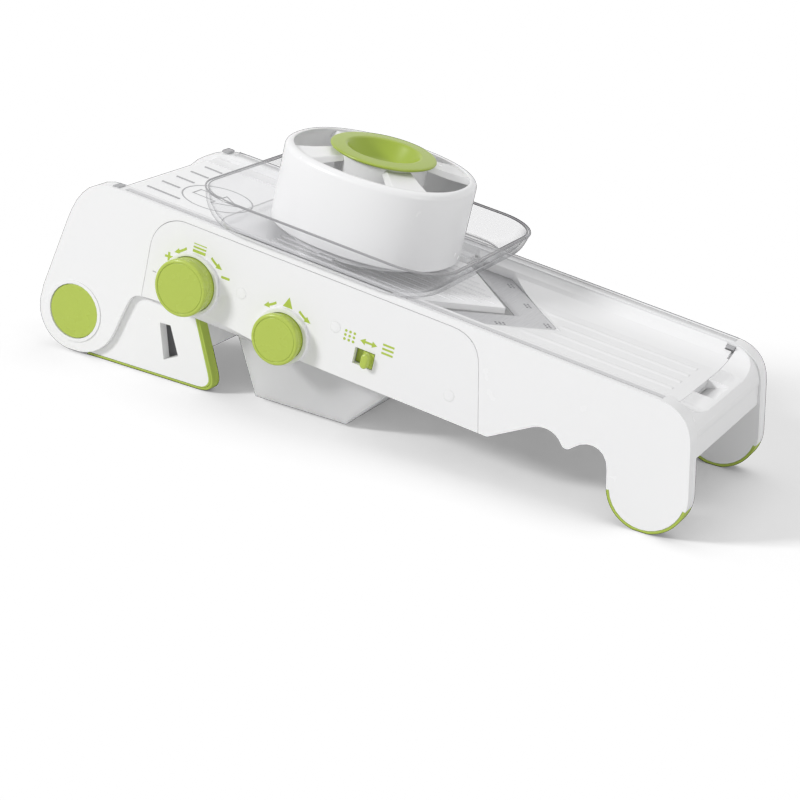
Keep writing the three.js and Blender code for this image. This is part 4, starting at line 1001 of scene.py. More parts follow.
def smooth_table(rows: Sequence[Flat], steps: int) -> list[Flat]:
    """A smooth curve through a few points.

    Args:
        rows: The points.
        steps: The steps between two points.

    Returns:
        The points of the curve.
    """
    knots = [Vector(r) for r in rows]
    curve: list[Flat] = []
    for i in range(len(knots) - 1):
        before = knots[max(i - 1, 0)]
        after = knots[min(i + 2, len(knots) - 1)]
        a, b = knots[i], knots[i + 1]
        for step in range(steps):
            t = step / steps
            point = 0.5 * (
                2 * a
                + (b - before) * t
                + (2 * before - 5 * a + 4 * b - after) * t * t
                + (3 * a - before - 3 * b + after) * t * t * t
            )
            curve.append((point.x, point.y))
    curve.append(tuple(knots[-1]))
    return curve


# Sub-assemblies


@dataclass
class Casings:
    """The two side casings with the deck's inner frame, its tray and its guard."""

    finishes: Finishes
    outer_round: float = 0.9
    panel_x: Span = (41.3, 259.0)
    panel_z: Span = (-55.2, -3.6)
    pivot_recess: float = 19.2
    groove_run: Span = (18.0, 347.6)
    skirt_run: Span = (18.0, 262.0)
    # Grey liner on the groove's wall and grey band beside it: painted shade of the groove.
    groove_wall_near: Span = (60.28, 60.5)
    groove_wall_far: Span = (61.76, 61.98)
    groove_z: Span = (-1.38, -0.02)
    track: Span = (57.3, 60.1)
    track_z: Span = (-0.3, 0.035)
    skirt: Span = (54.22, 54.46)
    skirt_z: Span = (-4.9, -2.6)
    # Dark strip along the far rail's outer edge: painted shade.
    far_edge: Span = (63.7, 64.6)
    far_edge_z: Span = (-0.5, 0.04)
    stop_run: Span = (10.4, 14.6)
    stop_reach: Span = (56.3, 63.2)
    stop_z: Span = (-0.9, 0.6)
    stop_round: float = 0.4
    rib_pitch: float = 13.0
    rib_half: float = 3.0
    rib_height: float = 0.35
    rib_sink: float = 0.01
    rib_foot: float = -0.3
    rib_steps: int = 6
    rib_field: float = 26.0
    floor_top: float = -9.4768
    rib_run: Span = (270.5, 340.5)
    # Grey blocks in the latch notches: painted shade.
    nib_run: Span = (344.7, 349.6)
    nib_reach: Span = (51.7, 54.1)
    nib_z: Span = (-3.4, -1.7)
    guard_round: float = 0.6

    def build(self) -> None:
        """Builds the casings and the pieces between them."""
        for side in Side:
            self.casing(side)
            self.rail(side)
        # A dark strip along the far rail's outer edge: painted shade of the edge.
        edge = self.strip(self.groove_run, self.far_edge, self.far_edge_z)
        edge.piece("rail_edge_far", Body.BASE, Slot.INNER, self.finishes.line)
        inner_frame = Clay().copy_node("deck_frame")
        inner_frame.dress("deck_frame", Body.BASE, Slot.WHITE, self.finishes.white)
        self.tray()
        guard = Clay().copy_node("under_guard").round(self.guard_round, lambda a, b, m: True)
        guard.dress("under_guard", Body.BASE, Slot.FROSTED, self.finishes.frosted)

    def strip(self, along: Span, across: Span, up: Span) -> Clay:
        """A bar between two places on each axis."""
        return Clay().block(*zip(along, across, up))

    def rail(self, side: Side) -> None:
        """Lays grey strips in and beside the rail's groove as painted shade, adds a white skirt and sets the
        small stop at its infeed end.

        Args:
            side: The side.
        """
        wall = self.groove_wall_near if side is Side.NEAR else self.groove_wall_far
        # The liner and the band are painted shade; the skirt is white plastic.
        for name, run, across, up, finish in (
            ("rail_liner", self.groove_run, wall, self.groove_z, self.finishes.inner),
            ("rail_track", self.groove_run, self.track, self.track_z, self.finishes.inner),
            ("rail_skirt", self.skirt_run, self.skirt, self.skirt_z, self.finishes.white),
        ):
            bar = self.strip(run, side.span(*across), up)
            bar.piece(f"{name}_{side.word}", Body.BASE, Slot.INNER, finish)
        stop = self.strip(self.stop_run, side.span(*self.stop_reach), self.stop_z)
        stop.round(self.stop_round, lambda a, b, m: m.z > 0)
        stop.piece(f"rail_stop_{side.word}", Body.BASE, Slot.INNER, self.finishes.line)

    def casing(self, side: Side) -> None:
        """Builds one side casing with a soft outer edge.

        Args:
            side: The side.
        """
        name = f"{side.word}_side_shell"

        def outside(a: Vector, b: Vector, middle: Vector) -> bool:
            """Tells the outer face's edges that are clear of the cover and of the pivot's recess.

            Args:
                a: One end.
                b: The other end.
                middle: The middle.

            Returns:
                Whether it is one of them.
            """
            on_face = all(abs(abs(end.y) - HALF_WIDTH) < 0.01 for end in (a, b))
            in_panel = (
                side is Side.NEAR
                and self.panel_x[0] < middle.x < self.panel_x[1]
                and self.panel_z[0] < middle.z < self.panel_z[1]
            )
            clear = (middle.xz - Vector(STAND_PIVOT)).length >= self.pivot_recess
            return on_face and not in_panel and clear

        shell = Clay().copy_node(name).round(self.outer_round, outside, 4)
        shell.dress(name, Body.BASE, Slot.WHITE, self.finishes.white)

    def tray(self) -> None:
        """Builds the outfeed tray, with soft ribs where the solid has narrow ones, and grey blocks in its
        latch notches as painted shade.
        """
        shell = Clay().copy_node("blade_tray")
        for corner in shell.mesh.verts:
            if abs(corner.co.y) < self.rib_field and self.floor_top < corner.co.z < self.floor_top + 1:
                corner.co.z = self.floor_top
        shell.merge(0.01).dress("blade_tray", Body.BASE, Slot.WHITE, self.finishes.tray)
        rib = [(-self.rib_half, self.rib_foot)]
        for step in range(-self.rib_steps, self.rib_steps + 1):
            lift = self.rib_height * math.cos(math.pi * step / (2 * self.rib_steps)) ** 2
            rib.append((self.rib_half * step / self.rib_steps, lift - self.rib_sink))
        rib.append((self.rib_half, self.rib_foot))
        start, end = self.rib_run
        ribs = Repeater(Pattern.LINE).spread(
            Clay().skin([[(x, y, z) for y, z in rib] for x in (-1.0, 0.0)]),
            rows=4,
            pitch=(1, self.rib_pitch),
            finish=self.finishes.tray,
            length=end - start,
            taper=-1,
        )
        clay = Clay().take(ribs, Matrix.Translation((end, 0, self.floor_top)))
        clay.piece("tray_ribs", Body.BASE, Slot.WHITE, self.finishes.tray)
        # A grey block fills each latch notch: painted shade of the notch.
        for side in Side:
            notch_shade = self.strip(self.nib_run, side.span(*self.nib_reach), self.nib_z)
            notch_shade.piece(f"latch_nib_{side.word}", Body.BASE, Slot.INNER, self.finishes.line)


@dataclass
class Ramp:
    """The infeed ramp with its grip grooves and the fine lines of its tongue."""

    finishes: Finishes
    left: float = 7.5
    tip: float = 232.3
    left_depth: float = 4.7
    tip_depth: float = 8.3
    line_start: float = 168.0
    line_pitch: float = 6.4
    line_count: int = 11
    line_width: float = 0.5
    line_height: float = 0.22
    line_sink: float = 0.1
    line_margin: float = 6.0
    grip_start: float = 6.5
    grip_end: float = 28.5
    grip_pitch: float = 15.8
    grip_low: float = -0.55
    grip_half: tuple[Flat, ...] = ((0.62, -0.55), (0.62, 0.01), (0.9, 0.02), (0.6, 0.36))
    short_grip: float = 12.0
    fill_half: float = 0.64
    fill_top: float = 0.012
    ring_centre: Flat = (41.0, -9.8)
    ring_radius: float = 20.6
    ring_band: tuple[Flat, ...] = ((-0.6, -0.1), (0.6, -0.1), (0.35, 0.12), (-0.35, 0.12))
    arrow: tuple[Flat, ...] = (
        *((-14.0, -4.6), (1.0, -4.6), (1.0, -9.0), (13.5, 0.0)),
        *((1.0, 9.0), (1.0, 4.6), (-14.0, 4.6)),
    )
    arrow_line: float = 0.4
    arrow_height: float = 0.1

    def surface(self) -> Matrix:
        """The ramp's own frame: x from its left end, z off its top face."""
        slope = math.atan2(self.tip_depth - self.left_depth, self.tip - self.left)
        return Matrix.Translation((self.left, 0, -self.left_depth)) @ Matrix.Rotation(slope, 4, "Y")

    def grips(self) -> None:
        """Fills the grip grooves with raised grey bars, one long bar and four short ones: the grey is
        painted shade of the grooves.
        """
        bars, plain = Clay(), Clay()
        left = [(-across, up) for across, up in reversed(self.grip_half)]
        section = [left[-1], *self.grip_half, *left[:-1]]
        for row in range(-2, 3):
            y = row * self.grip_pitch
            end = self.grip_end if row == -2 else self.grip_start + self.short_grip
            ends = (self.grip_start + 0.02, end)
            bars.skin([[(x, y + across, up) for across, up in section] for x in ends])
            if row > -2:
                corner = (self.grip_end - 0.01, y + self.fill_half, self.fill_top)
                plain.block((end, y - self.fill_half, self.grip_low), corner)
        # The bars are grey as painted shade of the grooves.
        bars.move(self.surface()).piece("ramp_grips", Body.RAMP, Slot.INNER, self.finishes.line)
        plain.move(self.surface()).piece("ramp_grip_fill", Body.RAMP, Slot.WHITE, self.finishes.ramp)

    def feed_mark(self) -> None:
        """Sets a plain ring with a feed arrow on the plate, as thin raised lines."""
        middle = Vector(self.ring_centre)
        band = [(self.ring_radius + out, up) for out, up in self.ring_band]
        clay = Clay().lathe(band, Matrix.Translation(middle.to_3d()))
        for tail, head in zip(self.arrow, (*self.arrow[1:], self.arrow[0])):
            a, b = middle + Vector(tail), middle + Vector(head)
            run = (b - a).normalized() * self.arrow_line
            across = Vector((-run.y, run.x))
            outline = [a - run - across, b + run - across, b + run + across, a - run + across]
            clay.slab([tuple(p) for p in outline], -self.arrow_height, self.arrow_height)
        clay.move(self.surface()).piece("ramp_feed_mark", Body.RAMP, Slot.INNER, self.finishes.line)

    def build(self) -> None:
        """Builds the ramp, its grips, its mark and its lines."""
        plate = Clay().copy_node("infeed_ramp")
        plate.dress("infeed_ramp", Body.RAMP, Slot.WHITE, self.finishes.ramp)
        self.grips()
        self.feed_mark()
        half, top = self.line_width / 2, self.line_height
        section = [(-half, -self.line_sink), (-half / 2, top), (half / 2, top), (half, -self.line_sink)]
        lines = Repeater(Pattern.LINE).spread(
            Clay().skin([[(x, y, z) for y, z in section] for x in (0.0, 1.0)]),
            rows=self.line_count,
            pitch=(1, self.line_pitch),
            finish=self.finishes.white,
            length=self.tip - self.line_margin - self.line_start,
            taper=1.0,
        )
        place = self.surface() @ Matrix.Translation((self.line_start - self.left, 0, 0))
        Clay().take(lines, place).piece("ramp_lines", Body.RAMP, Slot.WHITE, self.finishes.white)


@dataclass
class ControlPanel:
    """The flush cover on the near side, its pins, its printed marks and the lips of its collars."""

    finishes: Finishes
    thickness_bore: Flat = (16.9, 16.1)
    comb_bore: Flat = (15.1, 13.75)
    collar: float = 2.4
    pin_marks: tuple[Flat, ...] = ((103.4, -31.2), (163.3, -28.9), (236.3, -41.6))
    collar_round: float = 0.35
    lip_foot: float = -0.95
    lip_lift: float = 0.03
    lip_outer: tuple[Flat, ...] = ((0.05, 0.35), (0.9, 0.05), (0.8, 0.0))
    lip_inner: tuple[Flat, ...] = ((0.35, 0.0), (0.1, 0.12), (0.0, 0.4))
    pin_stem: tuple[Flat, ...] = ((0.0, -1.9), (2.4, -1.9), (2.4, 0.005))
    pin_head: tuple[Flat, ...] = ((3.2, 0.005), (3.15, 0.06), (2.7, 0.1), (0.0, 0.1))
    ink_lift: float = 0.06
    ink_sink: float = 0.02
    stroke: float = 1.4
    plus_mark: Flat = (54.8, -26.5)
    plus_reach: float = 2.6
    plus_turn: float = 5.0
    minus_ends: tuple[Flat, Flat] = ((89.4, -26.3), (94.8, -26.2))
    slice_run: Span = (68.9, 77.2)
    slice_bars: tuple[Flat, ...] = ((-13.4, 0.6), (-15.35, 1.05), (-17.6, 1.65))
    more: tuple[Flat, Flat, float] = ((64.95, -18.1), (57.7, -22.8), 0.4)
    less: tuple[Flat, Flat, float] = ((81.3, -17.9), (89.1, -22.5), -0.5)
    triangle: tuple[Flat, ...] = ((129.9, -28.75), (136.0, -28.75), (132.9, -22.6))
    comb_back: tuple[Flat, Flat, float] = ((125.7, -28.4), (118.4, -32.5), 0.4)
    comb_on: tuple[Flat, Flat, float] = ((140.3, -28.2), (148.4, -32.7), -0.4)
    line_run: Span = (192.8, 199.8)
    line_heights: tuple[float, ...] = (-28.0, -30.4, -32.85)
    line_width: float = 1.15
    tick_ends: tuple[Flat, Flat] = ((46.2, -38.4), (48.6, -38.4))
    tick_width: float = 0.5
    tick_lift: float = 0.04
    arrow_steps: int = 8
    arrow_shaft: float = 0.58
    arrow_spread: float = 2.5
    dot_radius: float = 0.82
    dot_pitch: Flat = (2.68, 2.42)
    dots_mark: Flat = (172.65, -30.8)
    double_arrow: tuple[Flat, ...] = (
        *((179.2, -30.6), (182.4, -28.7), (182.4, -29.95), (186.6, -29.95), (186.6, -28.7)),
        *((189.7, -30.55), (186.6, -32.4), (186.6, -31.2), (182.4, -31.2), (182.4, -32.5)),
    )

    def build(self) -> None:
        """Builds the cover and everything on it."""
        wells = ((THICKNESS_MARK, self.thickness_bore), (COMB_MARK, self.comb_bore))
        brim = -HALF_WIDTH - self.collar + 0.1
        cover = Clay().copy_node("control_panel")
        cover.round(self.collar_round, lambda a, b, m: a.y < brim and b.y < brim)
        cover.dress("control_panel", Body.BASE, Slot.WHITE, self.finishes.panel)
        top = self.collar + self.lip_lift
        for number, (mark, (bore, lip)) in enumerate(wells, 1):
            ring = [(lip, self.lip_foot), (bore + self.lip_outer[0][0], self.lip_foot)]
            ring += [(bore + out, top - down) for out, down in self.lip_outer]
            ring += [(lip + out, top - down) for out, down in self.lip_inner]
            collar = Clay().lathe(ring, sideways(Side.NEAR, *mark))
            collar.piece(f"collar_lip_{number}", Body.BASE, Slot.WHITE, self.finishes.panel)
        for number, mark in enumerate(self.pin_marks, 1):
            pin = Clay().lathe([*self.pin_stem, *self.pin_head], sideways(Side.NEAR, *mark), 48)
            pin.dress(f"panel_pin_{number}", Body.BASE, Slot.WHITE, self.finishes.panel)
        self.marks()

    def print_flat(self, outlines: Sequence[Sequence[Flat]], name: str) -> None:
        """Lays closed outlines on the cover as a thin print.

        Args:
            outlines: The outlines.
            name: The piece's name.
        """
        clay = Clay()
        for outline in outlines:
            clay.side_plate(outline, -HALF_WIDTH - self.ink_lift, -HALF_WIDTH + self.ink_sink)
        clay.piece(name, Body.BASE, Slot.GREEN, self.finishes.ink)

    def bar(self, start: Flat, end: Flat, width: float) -> list[Flat]:
        """A straight stroke's outline.

        Args:
            start: Its start.
            end: Its end.
            width: Its width.

        Returns:
            The outline.
        """
        a, b = Vector(start), Vector(end)
        across = (b - a).normalized().orthogonal() * width / 2
        return [tuple(p) for p in (a - across, b - across, b + across, a + across)]

    def arrow(self, tail: Flat, head: Flat, bow: float) -> list[Flat]:
        """A slightly bowed arrow's outline.

        Args:
            tail: Its tail.
            head: Its point.
            bow: How far its middle bows to the left of its run.

        Returns:
            The outline.
        """
        a, b = Vector(tail), Vector(head)
        run = b - a
        left = Vector((-run.y, run.x)).normalized()
        steps, half = self.arrow_steps, self.stroke / 2
        shares = [self.arrow_shaft * step / steps for step in range(steps + 1)]
        middles = [a + run * t + left * bow * 4 * t * (1 - t) for t in shares]
        tangent = (b - middles[-1]).normalized()
        barb = Vector((-tangent.y, tangent.x)) * half * self.arrow_spread
        outline = [m + left * half for m in middles]
        outline += [middles[-1] + barb, b, middles[-1] - barb]
        outline += [m - left * half for m in reversed(middles)]
        return [tuple(p) for p in outline]

    def cross(self, centre: Flat, reach: float, turn: float) -> list[Flat]:
        """A plus sign's outline.

        Args:
            centre: Its middle.
            reach: How far its arms reach.
            turn: How far it is turned, in degrees.

        Returns:
            The outline.
        """
        half = self.stroke / 2
        arm = [(reach, -half), (reach, half), (half, half)]
        outline = []
        for quarter in range(4):
            turned = Matrix.Rotation(math.radians(90 * quarter + turn), 2)
            outline += [tuple(turned @ Vector(p) + Vector(centre)) for p in arm]
        return outline

    def marks(self) -> None:
        """Prints the marks beside the knobs and above the slider."""
        start, end = self.slice_run
        bars = [self.bar((start, z), (end, z), width) for z, width in self.slice_bars]
        plus = self.cross(self.plus_mark, self.plus_reach, self.plus_turn)
        self.print_flat([plus, self.bar(*self.minus_ends, self.stroke), *bars], "thickness_marks")
        self.print_flat([self.arrow(*self.more), self.arrow(*self.less)], "thickness_arrows")
        arrows = [self.arrow(*self.comb_back), self.arrow(*self.comb_on)]
        self.print_flat([self.triangle, *arrows], "comb_marks")
        section = [(0, -self.ink_lift), (self.dot_radius, -self.ink_lift)]
        section += [(self.dot_radius, self.ink_sink), (0, self.ink_sink)]
        dot = Clay().lathe(section, Matrix.Identity(4), 8)
        dots = Repeater(Pattern.GRID).spread(dot, 3, self.dot_pitch, self.finishes.ink, columns=3)
        x, z = self.dots_mark
        place = Matrix.Translation((x, -HALF_WIDTH, z)) @ Matrix.Rotation(math.radians(-90), 4, "X")
        Clay().take(dots, place).piece("slider_dots", Body.BASE, Slot.GREEN, self.finishes.ink)
        start, end = self.line_run
        lines = [self.bar((start, z), (end, z), self.line_width) for z in self.line_heights]
        self.print_flat([self.double_arrow, *lines], "slider_marks")
        tick = self.bar(*self.tick_ends, self.tick_width)
        clay = Clay().side_plate(tick, -HALF_WIDTH - self.tick_lift, -HALF_WIDTH + self.ink_sink)
        clay.piece("panel_tick", Body.BASE, Slot.INNER, self.finishes.line)


@dataclass
class Knob:
    """A turned green knob with a rounded rim, a face groove and a narrower waist."""

    node: str
    body: Body
    mark: Flat
    radius: float
    height: float
    waist: float
    shoulder: float
    finishes: Finishes
    rim: float = 1.3
    foot: float = -0.68
    neck_top: float = 2.9
    neck: tuple[Flat, ...] = ((0.6, -0.68), (0.1, -0.5), (0.0, -0.1))
    face_edge: float = 0.45
    groove: tuple[Flat, ...] = (
        *((0.0, 0.01), (0.12, 0.08), (0.22, 0.42)),
        *((0.5, 0.42), (0.65, 0.2), (0.9, 0.12)),
    )
    dish_drops: Flat = (0.05, 0.02)

    def build(self) -> None:
        """Builds the knob."""
        r, h, w = self.radius, self.height, self.waist
        profile: list[Flat] = [(0, self.foot), *((w - inset, z) for inset, z in self.neck)]
        flare = ((w, self.neck_top), (w + (r - w) * 0.35, self.shoulder * 0.75), (r, self.shoulder))
        profile += smooth_table(flare, 5)
        profile += arc((r - self.rim, h - self.rim), self.rim, 0, 80, 10)
        face = r - self.rim - self.face_edge
        profile += [(face - inset, h - drop) for inset, drop in self.groove]
        profile += [(r * 0.5, h - self.dish_drops[0]), (0, h - self.dish_drops[1])]
        clay = Clay().lathe(profile, sideways(Side.NEAR, *self.mark))
        clay.dress(self.node, self.body, Slot.GREEN, self.finishes.green)


@dataclass
class Knobs:
    """Both knobs and the slider's nub."""

    finishes: Finishes
    nub_low: Point = (182.7, -65.35, -44.3)
    nub_high: Point = (189.4, -51.4, -35.7)
    nub_round: float = 0.3
    ridge: Span = (183.4, 188.2)
    ridge_steps: tuple[Flat, ...] = ((0.0, 0.3), (0.05, 3.4), (0.3, 4.1), (0.75, 4.45), (1.35, 4.6))
    slot_cover: tuple[Point, Point] = ((176.9, -60.2, -45.2), (195.2, -59.4, -34.8))

    def build(self) -> None:
        """Builds the knobs and the nub."""
        sizes = {"radius": 16.4, "height": 12.5, "waist": 15.8, "shoulder": 8.2}
        Knob("thickness_knob", Body.THICKNESS, THICKNESS_MARK, finishes=self.finishes, **sizes).build()
        sizes = {"radius": 14.6, "height": 10.0, "waist": 13.45, "shoulder": 7.0}
        Knob("shape_knob", Body.COMBS, COMB_MARK, finishes=self.finishes, **sizes).build()
        self.nub()

    def nub(self) -> None:
        """Builds the slider's nub: a flat foot with an upright ridge, and its plate behind the slot."""
        clay = Clay().block(self.nub_low, self.nub_high)
        clay.round(self.nub_round, lambda a, b, m: m.y < -HALF_WIDTH, 2)
        clay.block(*self.slot_cover)
        middle = (self.ridge[0] + self.ridge[1]) / 2
        half = (self.ridge[1] - self.ridge[0]) / 2
        top, bottom = self.nub_high[2] - half, self.nub_low[2] + half
        rings = []
        for inset, out in self.ridge_steps:
            radius = half - inset
            outline = arc((middle, top), radius, 0, 180, 14) + arc((middle, bottom), radius, 180, 360, 14)
            rings.append([(x, -HALF_WIDTH - out, z) for x, z in outline])
        clay.skin(rings)
        clay.dress("selector_lever", Body.SELECTOR, Slot.GREEN, self.finishes.green)


@dataclass
class VBlade:
    """The steel V blade with its ground edge and weld marks."""

    finishes: Finishes
    mouth: float = 238.5
    run: float = 26.0
    reach: float = 50.5
    tip: float = 1.6
    top: float = -9.7
    thickness: float = 1.2
    grind: float = 2.6
    marks: tuple[Flat, ...] = ((218.1, 39.6), (237.8, 18.9), (238.5, -20.7), (258.0, 0.9))
    dimple: tuple[Flat, ...] = ((0.0, -0.1), (0.75, -0.1), (0.68, 0.06), (0.35, 0.14), (0.0, 0.16))
    bead_reach: float = 22.0
    bead_gap: Span = (0.5, 1.5)
    bead_z: Span = (-0.1, 0.3)

    def build(self) -> None:
        """Builds the blade, its marks and the bead round its seat."""
        back = self.top - self.thickness
        rings = [self.outline(0.0, back), self.outline(0.0, self.top - self.thickness * 0.8)]
        rings.append(self.outline(self.grind, self.top))
        Clay().skin(rings).dress("v_blade", Body.BASE, Slot.STEEL, self.finishes.steel)
        repeater = Repeater(Pattern.GRID)
        clay = Clay()
        for x, y in self.marks:
            item = Clay().lathe(self.dimple, Matrix.Identity(4), 12)
            group = repeater.spread(item, rows=2, columns=3, pitch=(2.3, 2.1), finish=self.finishes.weld)
            turn = Matrix.Rotation(math.radians(-45 if y > 0 else 45), 4, "Z")
            clay.take(group, Matrix.Translation((x, y, self.top)) @ turn)
        clay.piece("blade_weld_marks", Body.BASE, Slot.STEEL, self.finishes.weld)
        near, far = (self.mouth + self.run + gap * math.sqrt(2) for gap in self.bead_gap)
        reach = self.bead_reach
        outside = [(far - reach, -reach), (far, 0.0), (far - reach, reach)]
        inside = [(near - reach, reach), (near, 0.0), (near - reach, -reach)]
        bead = Clay().slab([*outside, *inside], self.top + self.bead_z[0], self.top + self.bead_z[1])
        bead.piece("blade_seat_bead", Body.BASE, Slot.WHITE, self.finishes.white)

    def outline(self, ground: float, z: float) -> list[Point]:
        """The blade's outline in plan.

        Args:
            ground: How far the cutting edges are drawn back.
            z: The height of the outline.

        Returns:
            The points.
        """
        outside = self.mouth + self.run
        inside = self.mouth + ground * math.sqrt(2)
        flat = [
            (outside - self.tip, -self.tip),
            (outside - self.tip, self.tip),
            (outside - self.reach, self.reach),
            (inside - self.reach, self.reach),
            (inside, 0.0),
            (inside - self.reach, -self.reach),
            (outside - self.reach, -self.reach),
        ]
        return [(x, y, z) for x, y in flat]


@dataclass
class Stand:
    """The folding stand with its rubber edges, the pivot's caps and near black sheets behind its windows as
    painted shade.
    """

    finishes: Finishes
    cap_radius: float = 16.1
    cap_depth: float = 2.7
    window: tuple[Flat, ...] = ((54.9, -67.8), (61.9, -67.0), (70.4, -83.0), (61.6, -88.4))
    # Where the painted shade sheet behind the windows lies.
    plate: Span = (54.5, 61.7)
    pocket_back: float = 54.9
    pocket_thickness: float = 0.6
    strip_sink: float = 0.3
    strip_lift: float = 0.12
    cap_round: float = 0.6
    strip_outer: tuple[Flat, ...] = (
        *((76.1, -55.9), (77.4, -55.9), (92.2, -85.3), (93.35, -88.2), (93.7, -90.6)),
        *((93.0, -92.6), (91.6, -94.2), (89.2, -95.3), (86.4, -95.7)),
    )
    strip_inner: tuple[Flat, ...] = (
        *((86.4, -95.4), (89.0, -94.9), (91.0, -93.6), (92.1, -91.9)),
        *((92.5, -90.2), (92.0, -88.3), (90.9, -85.7)),
    )

    def build(self) -> None:
        """Builds the stand, its rubber, the caps and the painted shade behind its windows."""
        face = self.plate[1]

        def outer_edge(a: Vector, b: Vector, middle: Vector) -> bool:
            """Whether an edge lies on an outer face."""
            return abs(a.y) > face - 0.1 and abs(b.y) > face - 0.1

        leg = Clay().copy_node("stand_leg").round(0.5, outer_edge)
        leg.dress("stand_leg", Body.STAND, Slot.WHITE, self.finishes.white)
        r, drop, curve = self.cap_radius, self.cap_depth, self.cap_round
        profile = [(0, -drop), (r, -drop), (r, -0.7)]
        profile += [*fillet((r - curve, -0.65), curve, 0), (r * 0.6, -0.02), (0, 0)]
        for side in Side:
            # A near black sheet behind each window: painted shade of the space under the deck.
            pocket = side.span(self.pocket_back, self.pocket_back + self.pocket_thickness)
            liner = Clay().side_plate(self.window, *pocket)
            liner.piece(f"stand_pocket_{side.word}", Body.STAND, Slot.INNER, self.finishes.pocket)
            edge = Clay().copy_node(f"stand_rubber_{side.word}").round(0.35, outer_edge)
            outline = [*self.strip_outer, *self.strip_inner]
            edge.side_plate(outline, *side.span(face - self.strip_sink, face + self.strip_lift))
            edge.dress(f"stand_rubber_{side.word}", Body.STAND, Slot.RUBBER, self.finishes.rubber)
            cap = Clay().lathe(profile, sideways(side, *STAND_PIVOT))
            cap.dress(f"pivot_cap_{side.word}", Body.BASE, Slot.GREEN, self.finishes.green)


@dataclass
class Feet:
    """The rubber crescents under the outfeed feet."""

    finishes: Finishes
    centre: Flat = (354.3, -50.65)
    radius: float = 22.4
    rubber: float = 1.3
    start: float = -6.0
    end: float = -162.0
    inner: float = 54.5

    def build(self) -> None:
        """Builds both crescents."""
        curve = arc(self.centre, self.radius, self.start, self.end, 60)
        outer = [(x, max(z, table_height(x))) for x, z in curve]
        inside = arc(self.centre, self.radius - self.rubber - 0.25, self.end, self.start, 60)
        face = HALF_WIDTH - 0.1
        for side in Side:
            pad = Clay().side_plate([*outer, *inside], *side.span(self.inner, HALF_WIDTH))
            pad.round(0.3, lambda a, b, m: abs(a.y) > face and abs(b.y) > face, 2)
            pad.dress(f"foot_pad_{side.word}", Body.BASE, Slot.RUBBER, self.finishes.rubber)


